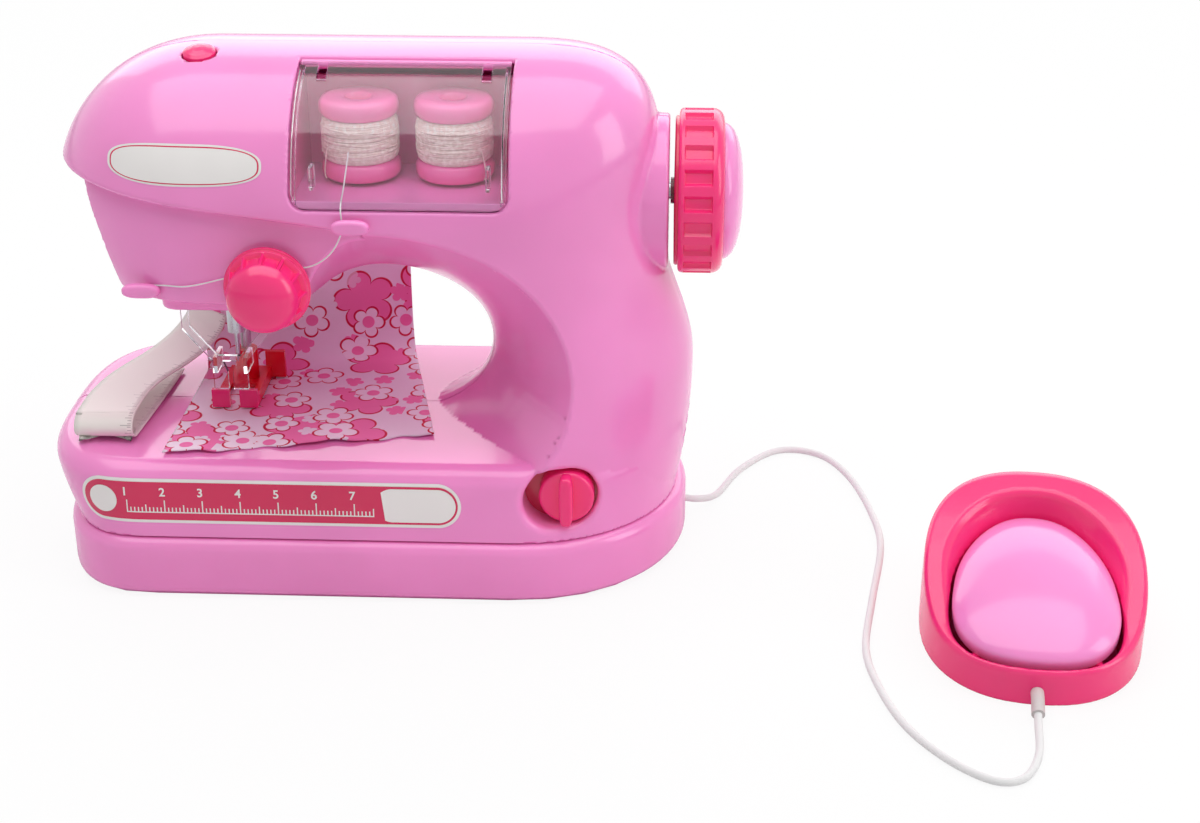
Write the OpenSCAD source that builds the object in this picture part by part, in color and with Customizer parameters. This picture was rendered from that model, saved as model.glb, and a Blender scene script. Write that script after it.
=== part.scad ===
// Toy sewing machine with foot pedal, spools and a small sewing set, in millimetres.
// The origin lies under the middle of the base; X runs to the handwheel, Y to the back, Z up.

/* [Base] */
// Left end of the sewing bed from the middle
bed_left = 111; // [100:1:122]
// Right end of the plinth from the middle
base_right = 110; // [104:1:116]
// Depth of the plinth from front to back
base_depth = 120; // [114:1:130]
// Height of the plinth band
plinth_h = 22; // [20:0.5:25]
// Height of the sewing bed
bed_h = 48; // [46:0.5:50]
// Rounding of the bed's upper edge
bed_round = 7; // [4:0.5:9]
// Wall of the moulded shells
wall = 2.2; // [1.8:0.1:2.6]

/* [Arm and column] */
// Height of the crest of the arm
crest_h = 178; // [174:1:186]
// Height of the shoulder where the crown starts
shoulder_h = 125; // [120:1:130]
// Half depth of the arm at the shoulder
arm_half = 51.5; // [49:0.5:54]
// Outward lean of the sides towards the floor, per millimetre
side_draft = 0.058; // [0.03:0.002:0.08]
// Left tip of the arm from the middle
nose_x = 102.5; // [96:0.5:110]
// Height of that tip
nose_h = 140; // [134:1:146]
// Right side of the column at shaft height
column_x = 100; // [97:0.5:102]
// Bulge of the column below the handwheel
belly = 11.6; // [6:0.2:14]
// Height of the fullest part of that bulge
belly_h = 68; // [60:1:74]
// Step from the arm's front down to the head's front
head_step = 4; // [3:0.25:6]
// Height of the step line at the head's left end
step_h = 140; // [136:1:144]
// Underside of the head
head_bottom = 103; // [101:0.5:106]

/* [Throat] */
// Middle of the arch from the machine's middle
arch_x = 5; // [2:0.5:8]
// Height of the middle of the arch
arch_h = 72; // [68:0.5:76]
// Half width of the arch at its narrowest
arch_half = 36; // [32:0.5:38]
// Rise of the arch at its narrowest
arch_rise = 27; // [24:0.5:29]
// Extra half width at the front of the flare
flare_half = 31; // [24:0.5:34]
// Extra rise at the front of the flare
flare_rise = 23; // [16:0.5:25]
// Depth position of the narrowest part
waist_y = 5; // [0:0.5:8]

/* [Handwheel and drive] */
// Height of the drive shaft
shaft_h = 128; // [126:0.5:130]
// Radius of the drive shaft
shaft_r = 3; // [2:0.1:3.5]
// Running clearance of shafts and bars in their bores
run_gap = 0.06; // [0.03:0.01:0.1]
// Outer radius of the handwheel
wheel_r = 27.7; // [24:0.1:30]
// Length of the handwheel's rim
wheel_w = 15.2; // [12:0.2:18]
// Gap between the collar and the handwheel
wheel_gap = 3.1; // [2:0.1:5]
// Radius of the collar
collar_r = 26; // [24:0.2:28]
// End face of the collar from the middle
collar_x = 102.4; // [101:0.2:106]
// Number of hollows round the handwheel
wheel_flutes = 20; // [12:1:24]
// Gear tooth module
gear_m = 0.8; // [0.7:0.05:0.85]
// Radius of the crank throw
crank_throw = 6; // [4:0.5:7]

/* [Needle and presser] */
// Needle position from the middle
needle_x = -49.3; // [-51:0.1:-47]
// Radius of the needle bar
needle_bar_r = 3; // [2:0.1:3.4]
// Radius of the presser bar
presser_r = 2; // [1.5:0.1:2.6]
// Presser bar behind the needle
presser_y = 13; // [11:0.5:16]
// Length of the foot from front to back
foot_l = 33; // [28:0.5:36]
// Width of the foot
foot_w = 16; // [14:0.5:18]
// Gap between foot and bed for the cloth
foot_gap = 1.2; // [1:0.1:2]

/* [Spools and window] */
// Left spool from the middle
spool_x = 1.8; // [0:0.1:4]
// Distance between the spools
spool_pitch = 30.8; // [29:0.1:32]
// Spool axis in front of the middle
spool_y = -20.5; // [-24:0.5:-20]
// Radius of the spool flanges
spool_r = 13; // [10:0.1:13.4]
// Height of a spool
spool_h = 26.4; // [22:0.1:26.6]
// Thickness of a spool flange
flange_t = 6.2; // [3:0.1:7]
// Radius of the spindles
spindle_r = 2; // [1.5:0.1:2.5]
// Left edge of the window from the middle
window_x = -17; // [-19:0.5:-15]
// Width of the window
window_w = 68.5; // [66:0.5:72]
// Lower edge of the window
window_h = 136.3; // [134:0.1:138]
// Thickness of the clear cover
cover_t = 1.6; // [1.2:0.1:2]
// Turns of thread on a spool
thread_turns = 10; // [10:1:10]

/* [Controls] */
// Dial position from the middle
dial_x = -26; // [-28:0.5:-24]
// Dial height
dial_h = 110; // [108:0.5:113]
// Dial radius
dial_r = 14.2; // [12:0.1:15]
// Switch position from the middle
knob_x = 69.8; // [67:0.1:72]
// Switch height
knob_h = 36.9; // [35:0.1:38]
// Radius of the switch knob
knob_r = 9.3; // [7:0.1:9.6]
// Travel of the switch knob to the left
knob_travel = 4; // [3:0.1:4.2]
// Top button position from the middle
button_x = -51; // [-54:0.5:-46]
// Radius of the top button
button_r = 5.3; // [4:0.1:6]
// Lean of the top button to the front
button_tilt = 14; // [8:1:18]

/* [Pedal] */
// Pedal middle to the right of the machine
pedal_x = 224; // [215:1:240]
// Pedal middle in front of the machine's middle
pedal_y = -69; // [-80:1:-60]
// Turn of the pedal seen from above
pedal_turn = -5.7; // [-12:0.1:0]
// Width of the pedal
pedal_w = 72; // [66:0.5:80]
// Length of the pedal
pedal_l = 92; // [86:0.5:100]
// Height of the pedal's hood
pedal_h = 42; // [38:0.5:46]
// Height of the pedal's front lip
pedal_lip = 12.5; // [11:0.5:15]
// Thickness of the cord
cord_d = 2.5; // [2:0.1:3]

/* [Sewing set] */
// Width of the cloth
cloth_w = 92; // [80:1:100]
// Turn of the cloth seen from above
cloth_turn = 12; // [8:0.5:16]
// Thickness of the cloth
cloth_t = 0.6; // [0.4:0.05:0.8]
// Width of the tape measure
tape_w = 20; // [14:0.5:21]
// Thickness of the tape measure
tape_t = 0.7; // [0.5:0.05:1]

/* [Hidden] */
$fn = 48;

pink = [0.96, 0.66, 0.84];
hot = [0.95, 0.16, 0.52];
red = [0.80, 0.08, 0.30];
cream = [0.94, 0.92, 0.86];
steel = [0.75, 0.76, 0.78];
clear = [0.85, 0.92, 0.95, 0.4];

// Shaping helpers
function power(v, p) = sign(v) * pow(abs(v), p);
function ring(z, xl, cl, nl, xr, cr, nr, hd, k = 12) = concat(
  [for (i = [0:k]) let (t = -90 + 180 * i / k)
    [cr + (xr - cr) * power(cos(t), 2 / nr), hd * power(sin(t), 2 / nr), z]],
  [for (i = [0:k]) let (t = 90 + 180 * i / k)
    [cl + (cl - xl) * power(cos(t), 2 / nl), hd * power(sin(t), 2 / nl), z]]);
function round_in(z, top, r) = z > top - r ? r - sqrt(max(0, r * r - pow(z - top + r, 2))) : 0;
function unit(v) = v / norm(v);
function mix3(a, b, c, d, t) = 0.5 * ((2 * b) + (c - a) * t + (2 * a - 5 * b + 4 * c - d) * t * t
  + (3 * b - a - 3 * c + d) * t * t * t);
function smooth(p, k) = concat([for (i = [0:len(p) - 2]) for (j = [0:k - 1])
  mix3(p[max(0, i - 1)], p[i], p[i + 1], p[min(len(p) - 1, i + 2)], j / k)], [p[len(p) - 1]]);

// Skin over closed rings; a thin sheet's ends are strips of triangles
module loft(rings, sheet = false) {
  n = len(rings[0]);
  m = len(rings);
  strip = [for (i = [0:n / 2 - 2]) each [[i, i + 1, n - 1 - i], [i + 1, n - 2 - i, n - 1 - i]]];
  first = sheet ? strip : [[for (i = [0:n - 1]) i]];
  polyhedron(points = [for (r = rings) each r], faces = concat(first,
    [for (j = [0:m - 2]) for (i = [0:n - 1]) let (q = (i + 1) % n)
      each [[j * n + i, (j + 1) * n + i, (j + 1) * n + q], [j * n + i, (j + 1) * n + q, j * n + q]]],
    [for (f = first) [for (i = [len(f) - 1:-1:0]) (m - 1) * n + f[i]]]));
}
module sweep(path, r, sides, up) {
  last = len(path) - 1;
  loft([for (i = [0:last]) let (t = unit(path[min(last, i + 1)] - path[max(0, i - 1)]),
    s = unit(cross(up, t)), b = cross(t, s))
    [for (k = [0:sides - 1]) path[i] + r * (cos(360 * k / sides) * s + sin(360 * k / sides) * b)]]);
}
module along_y(y0, y1) { translate([0, y1, 0]) rotate([90, 0, 0]) linear_extrude(y1 - y0) children(); }
module along_x(x0, x1) { translate([x0, 0, 0]) rotate([90, 0, 90]) linear_extrude(x1 - x0) children(); }
module slot2d(x0, x1, z, r) {
  translate([x0, z]) circle(r);
  translate([x1, z]) circle(r);
  translate([x0, z - r]) square([x1 - x0, 2 * r]);
}
module rod_x(x0, x1, y, z, r) { translate([x0, y, z]) rotate([0, 90, 0]) cylinder(h = x1 - x0, r = r); }
module rod_y(y0, y1, x, z, r) { translate([x, y1, z]) rotate([90, 0, 0]) cylinder(h = y1 - y0, r = r); }
module rod_z(z0, z1, x, y, r) { translate([x, y, z0]) cylinder(h = z1 - z0, r = r); }
module box(a, b) { translate(a) cube(b - a); }
module bar4(x0, x1, y0, y1, z0, z1, r) {
  hull() for (x = [x0 + r, x1 - r]) for (y = [y0 + r, y1 - r])
    translate([x, y, z0]) cylinder(h = z1 - z0, r = r, $fn = 24);
}

// Form of the machine's body, e millimetres inside its surface
bed_cl = -70;
bed_cr = 50;
crown_c = 46;
nose_c = 48;
crown_n = 2.2;
function side_half(z) = arm_half + side_draft * (shoulder_h - z);
function crown_z(a, e) = shoulder_h + (crest_h - e - shoulder_h) * pow(sin(a), 2 / crown_n);
function crown_y(a, e) = (arm_half - e) * pow(cos(a), 2 / crown_n);
function body_right(z) = z <= belly_h ? column_x + belly - 5 * pow((belly_h - z) / 46, 2)
  : z < belly_h + 50 ? column_x + belly * (1 + cos(180 * (z - belly_h) / 50)) / 2
  : crown_c + (column_x - crown_c)
    * pow(1 - pow(min(1, max(0, z - shaft_h) / (crest_h - shaft_h)), 3.5), 1 / 3.5);
function body_left(z) = z > nose_h
  ? -nose_c - (nose_x - nose_c) * pow(1 - pow(min(1, (z - nose_h) / (crest_h - nose_h)), 1.7), 1 / 1.7)
  : -nose_c - (nose_x - nose_c) * sqrt(max(0.3, 1 - pow((nose_h - z) / 60, 2)));
function bed_end(z) = -bed_left + 7 * pow(max(0, bed_h - 4 - z) / (bed_h - 4 - plinth_h), 1.5);

module upper_block(e) {
  z0 = e > 0 ? plinth_h - 2 : plinth_h;
  low = [for (i = [0:7]) z0 + (shoulder_h - z0) * i / 7];
  crown = [15, 30, 44, 57, 68, 78, 86];
  loft(concat(
    [for (z = low) ring(z, body_left(z) + e, -nose_c, 2, body_right(z) - e, crown_c, 2,
      side_half(z) - e, 11)],
    [for (a = crown) let (z = crown_z(a, 0))
      ring(crown_z(a, e), body_left(z) + min(e, -nose_c - body_left(z)), -nose_c, 2,
        body_right(z) - min(e, body_right(z) - crown_c), crown_c, 2, crown_y(a, e), 11)]));
}
module bed_block(e) {
  z0 = e > 0 ? plinth_h - 2 : plinth_h;
  top = bed_h - e;
  steps = [z0, plinth_h + 6, plinth_h + 13, top - bed_round, top - 0.62 * bed_round,
    top - 0.33 * bed_round, top - 0.12 * bed_round, top - 0.02 * bed_round, top];
  loft([for (z = steps) let (c = round_in(z, top, bed_round))
    ring(z, bed_end(z) + c + e, bed_cl, 2.8, base_right - 3 - c - e, bed_cr, 2.1, side_half(z) - c - e)]);
}
module throat(e) {
  intersection() {
    union() {
      along_y(-90, 90) offset(delta = e) polygon([[-140, 20], [arch_x + 6, 20], [arch_x + 6, arch_h],
        [-27, arch_h + 14], [-27, head_bottom], [-140, head_bottom + 2]]);
      loft([for (y = [-72, -58, -50, -42, -32, -21, -9, waist_y, 19, 31, 42, 50, 58, 72])
        let (t = abs(y - waist_y) / 55, f = pow(t, 1.5))
        [for (k = [0:31]) let (a = 360 * k / 32, s = sin(a), c = cos(a))
          [arch_x + s * (s > 0 ? arch_half + flare_half * f + e : 32 - 8 * min(1, t) + e), y,
            arch_h + 6 * t + c * (arch_rise + flare_rise * f + e)]]]);
    }
    box([-140, -100, bed_h - (e > 0 ? e + 0.15 : 0.02)], [140, 100, 190]);
  }
}
module head_cut(e) {
  difference() {
    along_y(-90, 90) offset(delta = e) polygon([[-140, step_h + 7.8], [-80, step_h], [arch_x, step_h - 11],
      [arch_x, bed_h + 30], [-140, bed_h + 30]]);
    intersection() {
      upper_block(head_step + e);
      along_y(-90, 90) offset(delta = -e) polygon([[-93, step_h + 6], [arch_x + 20, step_h + 6],
        [arch_x + 20, 40], [-58, 40], [-76, head_bottom - 4]]);
    }
  }
}
module nozzle(e) {
  bar4(-66 + e, -27 - e, -26 + e, 26 - e, head_bottom - 7 + e, head_bottom + 8, 6);
  bar4(-58.5 + e, -28 - e, -11 + e, 21 - e, head_bottom - 16 + e, head_bottom + 6, 6);
}
module body(e) {
  difference() {
    union() {
      upper_block(e);
      bed_block(e);
      rod_x(70, e > 0 ? collar_x + 2 : collar_x, 0, shaft_h, collar_r - e, $fn = 40);
    }
    head_cut(e);
    throat(e);
  }
  nozzle(e);
}

// Screw posts join the two shells; frame posts carry the two mechanism frames
frame_y = 24;
posts = [[-84, plinth_h + 13], [18, plinth_h + 13], [90, plinth_h + 36], [-80, nose_h + 10],
  [-29, crest_h - 15], [78, crest_h - 18]];
frame_posts = [[80.5, shaft_h + 15], [80.5, shaft_h - 46], [-42, crest_h - 38], [-36, head_bottom + 17]];
knob_well = 10.3;
module shell(side) {
  difference() {
    intersection() {
      body(0);
      if (side < 0) box([-150, -100, 0], [150, -0.05, 200]);
      else box([-150, 0.05, 0], [150, 100, 200]);
    }
    difference() {
      body(wall);
      for (p = posts) rod_y(side < 0 ? -80 : 0, side < 0 ? 0 : 80, p[0], p[1], 4, $fn = 16);
      for (s = plate_screws) rod_z(plinth_h + 0.2, bed_h, s[0], s[1], 4, $fn = 12);
      if (side > 0) for (p = frame_posts) rod_y(frame_y, 80, p[0], p[1], 4, $fn = 16);
      if (side < 0) along_y(-80, -45)
        hull() slot2d(knob_x - knob_travel, knob_x, knob_h, knob_well + 1.8, $fn = 36);
    }
    for (p = posts) {
      rod_y(side < 0 ? -14 : -1, 100, p[0], p[1], 1.75, $fn = 16);
      if (side > 0) rod_y(12, 100, p[0], p[1], 3.2, $fn = 16);
    }
    for (s = plate_screws) rod_z(plinth_h - 1, plinth_h + 9, s[0], s[1], 1.75, $fn = 12);
    window_gap();
    along_y(-80, -44) hull() slot2d(knob_x - knob_travel, knob_x, knob_h, knob_well, $fn = 36);
    rod_y(-80, -40, dial_x, dial_h, shaft_r + 1.95, $fn = 24);
    hull() rod_z(head_bottom - 30, head_bottom + 6, needle_x, 0, needle_bar_r + 2.3, $fn = 24);
    hull() rod_z(head_bottom - 30, head_bottom + 6, needle_x, presser_y, presser_r + 2.3, $fn = 24);
    hull() rod_z(head_bottom - 30, head_bottom + 3, lamp_at[0], lamp_at[1], 2.8, $fn = 20);
    at_button() hull() rod_z(-20, 12, 0, 0, button_r + 0.4, $fn = 28);
    for (h = [upper_at, lower_at]) hull() rod_y(h[1] - 3, -20, h[0] + 2.2, h[2] - 1.4, 1.5, $fn = 12);
    for (i = [-2:2]) along_x(90, 130) hull() {
      translate([-(9 - abs(i) * 1.6), plinth_h + 20 + 4.6 * i]) circle(1.1, $fn = 12);
      translate([9 - abs(i) * 1.6, plinth_h + 20 + 4.6 * i]) circle(1.1, $fn = 12);
    }
  }
}
module front_shell() { color(pink) shell(-1); }
module rear_shell() { color(pink) shell(1); }

module plinth_form(e) {
  z0 = e > 0 ? -1 : 0.6;
  top = plinth_h - 0.2 + (e > 0 ? 2 : 0);
  steps = e > 0 ? [z0, 3, plinth_h - 4, top]
    : [z0, 1.4, 3.5, 9, plinth_h - 5, plinth_h - 2, plinth_h - 0.8, top];
  loft([for (z = steps) let (c = e > 0 ? 0 : round_in(z, top, 4) + round_in(4.6 - z, 4, 4))
    ring(z, 4 - bed_left + c + e, bed_cl, 2.8, base_right - c - e, bed_cr, 2.1, base_depth / 2 - c - e)]);
}
cord_z = 7;
cord_y = 8;
module base_skirt() {
  color(pink) difference() {
    plinth_form(0);
    plinth_form(2.4);
    hull() rod_x(90, 130, cord_y, cord_z, cord_d / 2 + 0.4, $fn = 20);
  }
}

// Bottom plate with the cell bay, its door and posts
bay = [[-76, -25.5], [-16, 25.5]];
bay_top = 19.6;
plate_t = 2.5;
plate_in = 3.2;
board_at = [14, -16];
plate_screws = [[-95, -24], [-95, 24], [4, -42], [4, 42]];
module plate2d(in) {
  p = ring(0, 4 - bed_left + in, bed_cl, 2.8, base_right - in, bed_cr, 2.1, base_depth / 2 - in, 14);
  polygon([for (q = p) [q[0], q[1]]]);
}
module bottom_plate() {
  color(pink) {
    difference() {
      union() {
        linear_extrude(plate_t) plate2d(plate_in);
        box([bay[0][0], bay[0][1], 1], [bay[1][0], bay[1][1], bay_top]);
        for (x = [0, 28]) for (y = [0, 22]) rod_z(1, 12, board_at[0] + 3 + x, board_at[1] + 3 + y, 2.2);
        for (s = plate_screws) rod_z(1, plinth_h - 0.2, s[0], s[1], 4);
      }
      box([bay[0][0] + 1.6, bay[0][1] + 1.6, -1], [bay[1][0] - 1.6, bay[1][1] - 1.6, bay_top - 1.6]);
      box([bay[0][0] - 2.4, bay[0][1] + 1.6, -1], [bay[1][0] - 1.6, bay[1][1] - 1.6, plate_t]);
      for (s = plate_screws) {
        rod_z(-1, plinth_h + 2, s[0], s[1], 1.75);
        rod_z(-1, 1.9, s[0], s[1], 3.4);
      }
    }
  }
}
module battery_door() {
  color(pink) {
    box([bay[0][0] - 2, bay[0][1] + 2, 0.4], [bay[1][0] - 2, bay[1][1] - 2, plate_t - 0.1]);
    for (y = [-12, 0, 12])
      box([bay[0][0] + 8, y - 1.5, plate_t - 0.2], [bay[1][0] - 8, y + 1.5, plate_t + 0.5]);
  }
}
cell_r = 7.1;
cell_l = 50.5;
cell_z = bay_top - 1.9 - cell_r;
module batteries() {
  color([0.25, 0.25, 0.28]) for (i = [-1:1])
    rod_x(bay[0][0] + 4, bay[0][0] + 4 + cell_l, i * 15.6, cell_z, cell_r);
}
module battery_contacts() {
  color(steel) {
    for (i = [-1:1]) {
      box([bay[0][0] + 1.8, i * 15.6 - 5, cell_z - 5], [bay[0][0] + 2.4, i * 15.6 + 5, cell_z + 5]);
      rod_x(bay[0][0] + 2.3, bay[0][0] + 3.8, i * 15.6, cell_z, 3);
      box([bay[1][0] - 2.4, i * 15.6 - 5, cell_z - 5], [bay[1][0] - 1.8, i * 15.6 + 5, cell_z + 5]);
      rod_x(bay[0][0] + 4.2 + cell_l, bay[1][0] - 2.3, i * 15.6, cell_z, 2.6);
    }
  }
}
module screw_along() {
  cylinder(h = 1.8, r = 2.8);
  translate([0, 0, 1.7]) cylinder(h = 16, r = 1.4);
}
module shell_screws() {
  color(steel) for (p = posts) translate([p[0], 12, p[1]]) rotate([90, 0, 0]) translate([0, 0, -1.9])
    difference() {
      screw_along();
      translate([-2, -0.4, -1]) cube([4, 0.8, 1.7]);
    }
}
module base_screws() {
  color(steel) for (s = plate_screws) translate([s[0], s[1], 0.1]) difference() {
    union() {
      cylinder(h = 1.7, r = 3);
      translate([0, 0, 1.6]) cylinder(h = plinth_h + 6, r = 1.4);
    }
    translate([-2, -0.4, -1]) cube([4, 0.8, 1.7]);
  }
}
module circuit_board() {
  color([0.1, 0.4, 0.2]) {
    box([board_at[0], board_at[1], 12], [board_at[0] + 34, board_at[1] + 28, 13.6]);
    box([board_at[0] + 10, board_at[1] + 9, 13.5], [board_at[0] + 20, board_at[1] + 19, 15.5]);
  }
}
module speaker() {
  color([0.2, 0.2, 0.22]) {
    rod_x(column_x - 2, column_x + 0.5, 0, plinth_h + 20, 14);
    rod_x(column_x - 8, column_x - 1.9, 0, plinth_h + 20, 8);
    box([column_x - 2, cord_y - 14, 3.2], [column_x + 0.5, cord_y - 5.6, plinth_h + 11]);
  }
}
module cord_clamp() {
  color(hot) difference() {
    box([base_right - 12, cord_y - 5, plate_t + 0.05], [base_right - 5, cord_y + 5, cord_z + 4]);
    rod_x(base_right - 9, base_right, cord_y, cord_z, cord_d / 2 + 0.1);
  }
}

// Power switch
module switch_plate() {
  color(red) difference() {
    along_y(-44.95, -43.4) slot2d(knob_x - knob_travel, knob_x, knob_h, knob_well + 1.5);
    along_y(-50, -40) slot2d(knob_x - knob_travel - 0.4, knob_x + 0.4, knob_h, 2.4);
  }
}
module slide_switch() {
  color([0.2, 0.2, 0.22]) box([knob_x - 9, -43.2, knob_h - 6], [knob_x + 5, -37, knob_h + 6]);
}
module power_knob() {
  color(hot) {
    rod_y(-52, -45.4, knob_x, knob_h, knob_r);
    rod_y(-45.6, -43.6, knob_x, knob_h, 2);
    along_y(-56.5, -51.9) translate([knob_x - 1.7, knob_h - 7.4]) square([3.4, 14.8]);
  }
}

// Handwheel, shaft and gears
wheel_x = collar_x + wheel_gap;
module collar_cap() {
  color(red) difference() {
    union() {
      rod_x(collar_x - 3.4, collar_x - 0.8, 0, shaft_h, collar_r - wall - 0.3);
      rod_x(collar_x - 9, collar_x - 3.3, 0, shaft_h, shaft_r + 3);
    }
    rod_x(collar_x - 12, collar_x + 3, 0, shaft_h, shaft_r + run_gap);
  }
}
module handwheel() {
  color(hot) difference() {
    translate([wheel_x, 0, shaft_h]) rotate([0, 90, 0]) rotate_extrude() polygon([[shaft_r + 0.02, 0],
      [wheel_r - 1.2, 0], [wheel_r, 1.2], [wheel_r, 3], [wheel_r - 1, 4], [wheel_r - 0.6, wheel_w - 1.6],
      [wheel_r - 2, wheel_w], [wheel_r - 4.4, wheel_w], [wheel_r - 4.4, 4], [9, 4], [9, wheel_w - 3],
      [shaft_r + 0.02, wheel_w - 3]]);
    for (i = [0:wheel_flutes - 1]) translate([wheel_x, 0, shaft_h]) rotate([360 * i / wheel_flutes, 0, 0])
      translate([4.2, -2.7, wheel_r - 2.2]) cube([wheel_w - 7, 5.4, 6]);
  }
}
module wheel_cap() {
  color(hot) translate([wheel_x, 0, shaft_h]) rotate([0, 90, 0]) rotate_extrude() polygon([
    [0, wheel_w - 0.4], [9, wheel_w - 0.4], [9, wheel_w - 2.9], [11, wheel_w - 2.9], [11, wheel_w - 0.4],
    [wheel_r - 4.7, wheel_w - 0.4], [wheel_r - 4.7, wheel_w + 0.8], [wheel_r - 7, wheel_w + 3],
    [wheel_r - 12, wheel_w + 5], [wheel_r - 18, wheel_w + 6.2], [0, wheel_w + 6.7]]);
}
shaft_l0 = needle_x + 13.2;
module drive_shaft() {
  color(steel) rod_x(shaft_l0 + 0.6, wheel_x + wheel_w - 3.2, 0, shaft_h, shaft_r);
}
function inv(r, rb) = r <= rb ? 0 : sqrt(r * r / (rb * rb) - 1) * 180 / PI - acos(rb / r);
module gear2d(n, phase) {
  rp = n * gear_m / 2;
  rb = rp * cos(20);
  ra = rp + 0.72 * gear_m;
  rf = rp - 1.05 * gear_m;
  half = 0.41 * 180 / n;
  function th(r) = half + inv(rp, rb) - inv(max(r, rb), rb);
  polygon([for (i = [0:n - 1]) let (a = phase + 360 * i / n)
    each [for (q = [[rf, -1], [rp - 0.3 * gear_m, -1], [rp + 0.2 * gear_m, -1], [ra, -1],
      [ra, 1], [rp + 0.2 * gear_m, 1], [rp - 0.3 * gear_m, 1], [rf, 1]])
      q[0] * [cos(a + q[1] * th(q[0])), sin(a + q[1] * th(q[0]))]]]);
}
big_n = 42;
mid_n = 14;
wide_n = 36;
small_n = 12;
gear_x = 76.5;
idler_z = shaft_h - (big_n + mid_n) * gear_m / 2;
motor_z = idler_z - (wide_n + small_n) * gear_m / 2;
module shaft_gear() {
  color(cream) difference() {
    union() {
      translate([0, 0, shaft_h]) along_x(gear_x, gear_x + 4) gear2d(big_n, -90);
      rod_x(gear_x, gear_x + 8.6, 0, shaft_h, shaft_r + 2.2);
    }
    rod_x(gear_x - 1, gear_x + 10, 0, shaft_h, shaft_r + 0.02);
  }
}
module crank_disc() {
  color(cream) {
    difference() {
      rod_x(shaft_l0, shaft_l0 + 4, 0, shaft_h, crank_throw + 3.2);
      rod_x(shaft_l0 + 0.5, shaft_l0 + 6, 0, shaft_h, shaft_r + 0.02);
    }
    rod_x(needle_x + needle_bar_r + 4.2, shaft_l0 + 0.1, 0, shaft_h + crank_throw, 1.5);
  }
}
module gear_frame() {
  color([0.9, 0.9, 0.92]) difference() {
    union() {
      box([gear_x - 3, -16, motor_z - 13], [gear_x - 0.8, frame_y, shaft_h + 20]);
      box([gear_x + 9.4, -16, motor_z - 13], [gear_x + 11.4, frame_y, shaft_h + 20]);
      box([gear_x - 3, frame_y - 2.2, motor_z - 13], [gear_x + 11.4, frame_y - 0.05, shaft_h + 20]);
    }
    rod_x(gear_x - 9, gear_x + 20, 0, shaft_h, shaft_r + run_gap);
    rod_x(gear_x - 9, gear_x + 20, 0, idler_z, 1.52);
    rod_x(gear_x - 9, gear_x + 1, 0, motor_z, 3.2);
  }
}
module idler_axle() { color(steel) rod_x(gear_x - 3.4, gear_x + 11.8, 0, idler_z, 1.5); }
module idler_gear() {
  color(cream) difference() {
    union() {
      translate([0, 0, idler_z]) along_x(gear_x, gear_x + 4.4) gear2d(mid_n, 90 + 180 / mid_n);
      translate([0, 0, idler_z]) along_x(gear_x + 4.7, gear_x + 7.7) gear2d(wide_n, -90);
      rod_x(gear_x, gear_x + 8.6, 0, idler_z, 3.4);
    }
    rod_x(gear_x - 1, gear_x + 12, 0, idler_z, 1.5 + run_gap);
  }
}
module motor() {
  color(steel) {
    intersection() {
      rod_x(gear_x - 29, gear_x - 3.2, 0, motor_z, 10);
      box([gear_x - 40, -7.7, motor_z - 12], [gear_x + 10, 7.7, motor_z + 12]);
    }
    difference() {
      rod_x(gear_x - 3.3, gear_x - 1.6, 0, motor_z, 3);
      rod_x(gear_x - 5, gear_x, 0, motor_z, 1.3);
    }
  }
}
module motor_pinion() {
  color(cream) {
    translate([0, 0, motor_z]) along_x(gear_x + 4.4, gear_x + 8.2) gear2d(small_n, 90 + 180 / small_n);
    rod_x(gear_x - 2.6, gear_x + 4.5, 0, motor_z, 1);
  }
}

// Needle and presser
head_top = crest_h - 32;
frame_low = head_bottom + wall + 10.8;
module head_frame() {
  color([0.9, 0.9, 0.92]) difference() {
    union() {
      box([shaft_l0 + 5, -12, frame_low], [shaft_l0 + 7.4, frame_y, head_top + 3]);
      box([needle_x - 9, -15, head_top], [shaft_l0 + 7.4, frame_y, head_top + 3]);
      box([needle_x - 9, frame_y - 2.2, frame_low], [shaft_l0 + 7.4, frame_y - 0.05, head_top + 3]);
      rod_z(head_top + 2, head_top + 12, button_x, -9.2, 2.5);
    }
    rod_x(shaft_l0, shaft_l0 + 12, 0, shaft_h, shaft_r + run_gap);
    rod_z(head_top - 5, head_top + 9, needle_x, 0, needle_bar_r + run_gap);
    rod_z(head_top - 5, head_top + 9, needle_x, presser_y, presser_r + run_gap);
  }
}
module bush(x, y, r) {
  difference() {
    union() {
      rod_z(head_bottom - 16.6, head_bottom - 4, x, y, r + 2);
      rod_z(head_bottom - 13.4, head_bottom - 11.6, x, y, r + 3.4);
    }
    rod_z(head_bottom - 30, head_bottom + 9, x, y, r + run_gap);
  }
}
module needle_bush() { color(steel) bush(needle_x, 0, needle_bar_r); }
module presser_bush() { color(steel) bush(needle_x, presser_y, presser_r); }
needle_tip = bed_h + 14.5;
module needle_bar() {
  color(steel) difference() {
    rod_z(needle_tip + 11.5, head_top + 17, needle_x, 0, needle_bar_r);
    rod_z(needle_tip, needle_tip + 22, needle_x, 0, 0.82);
  }
}
module needle_yoke() {
  color(cream) difference() {
    box([needle_x - needle_bar_r - 2, -crank_throw - 4, shaft_h + crank_throw - 4],
      [needle_x + needle_bar_r + 3.6, crank_throw + 4, shaft_h + crank_throw + 4]);
    rod_z(shaft_h - 10, shaft_h + 20, needle_x, 0, needle_bar_r + 0.02);
    box([needle_x + needle_bar_r + 1.4, -crank_throw - 2, shaft_h + crank_throw - 1.8],
      [needle_x + needle_bar_r + 9, crank_throw + 2, shaft_h + crank_throw + 1.8]);
  }
}
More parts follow.
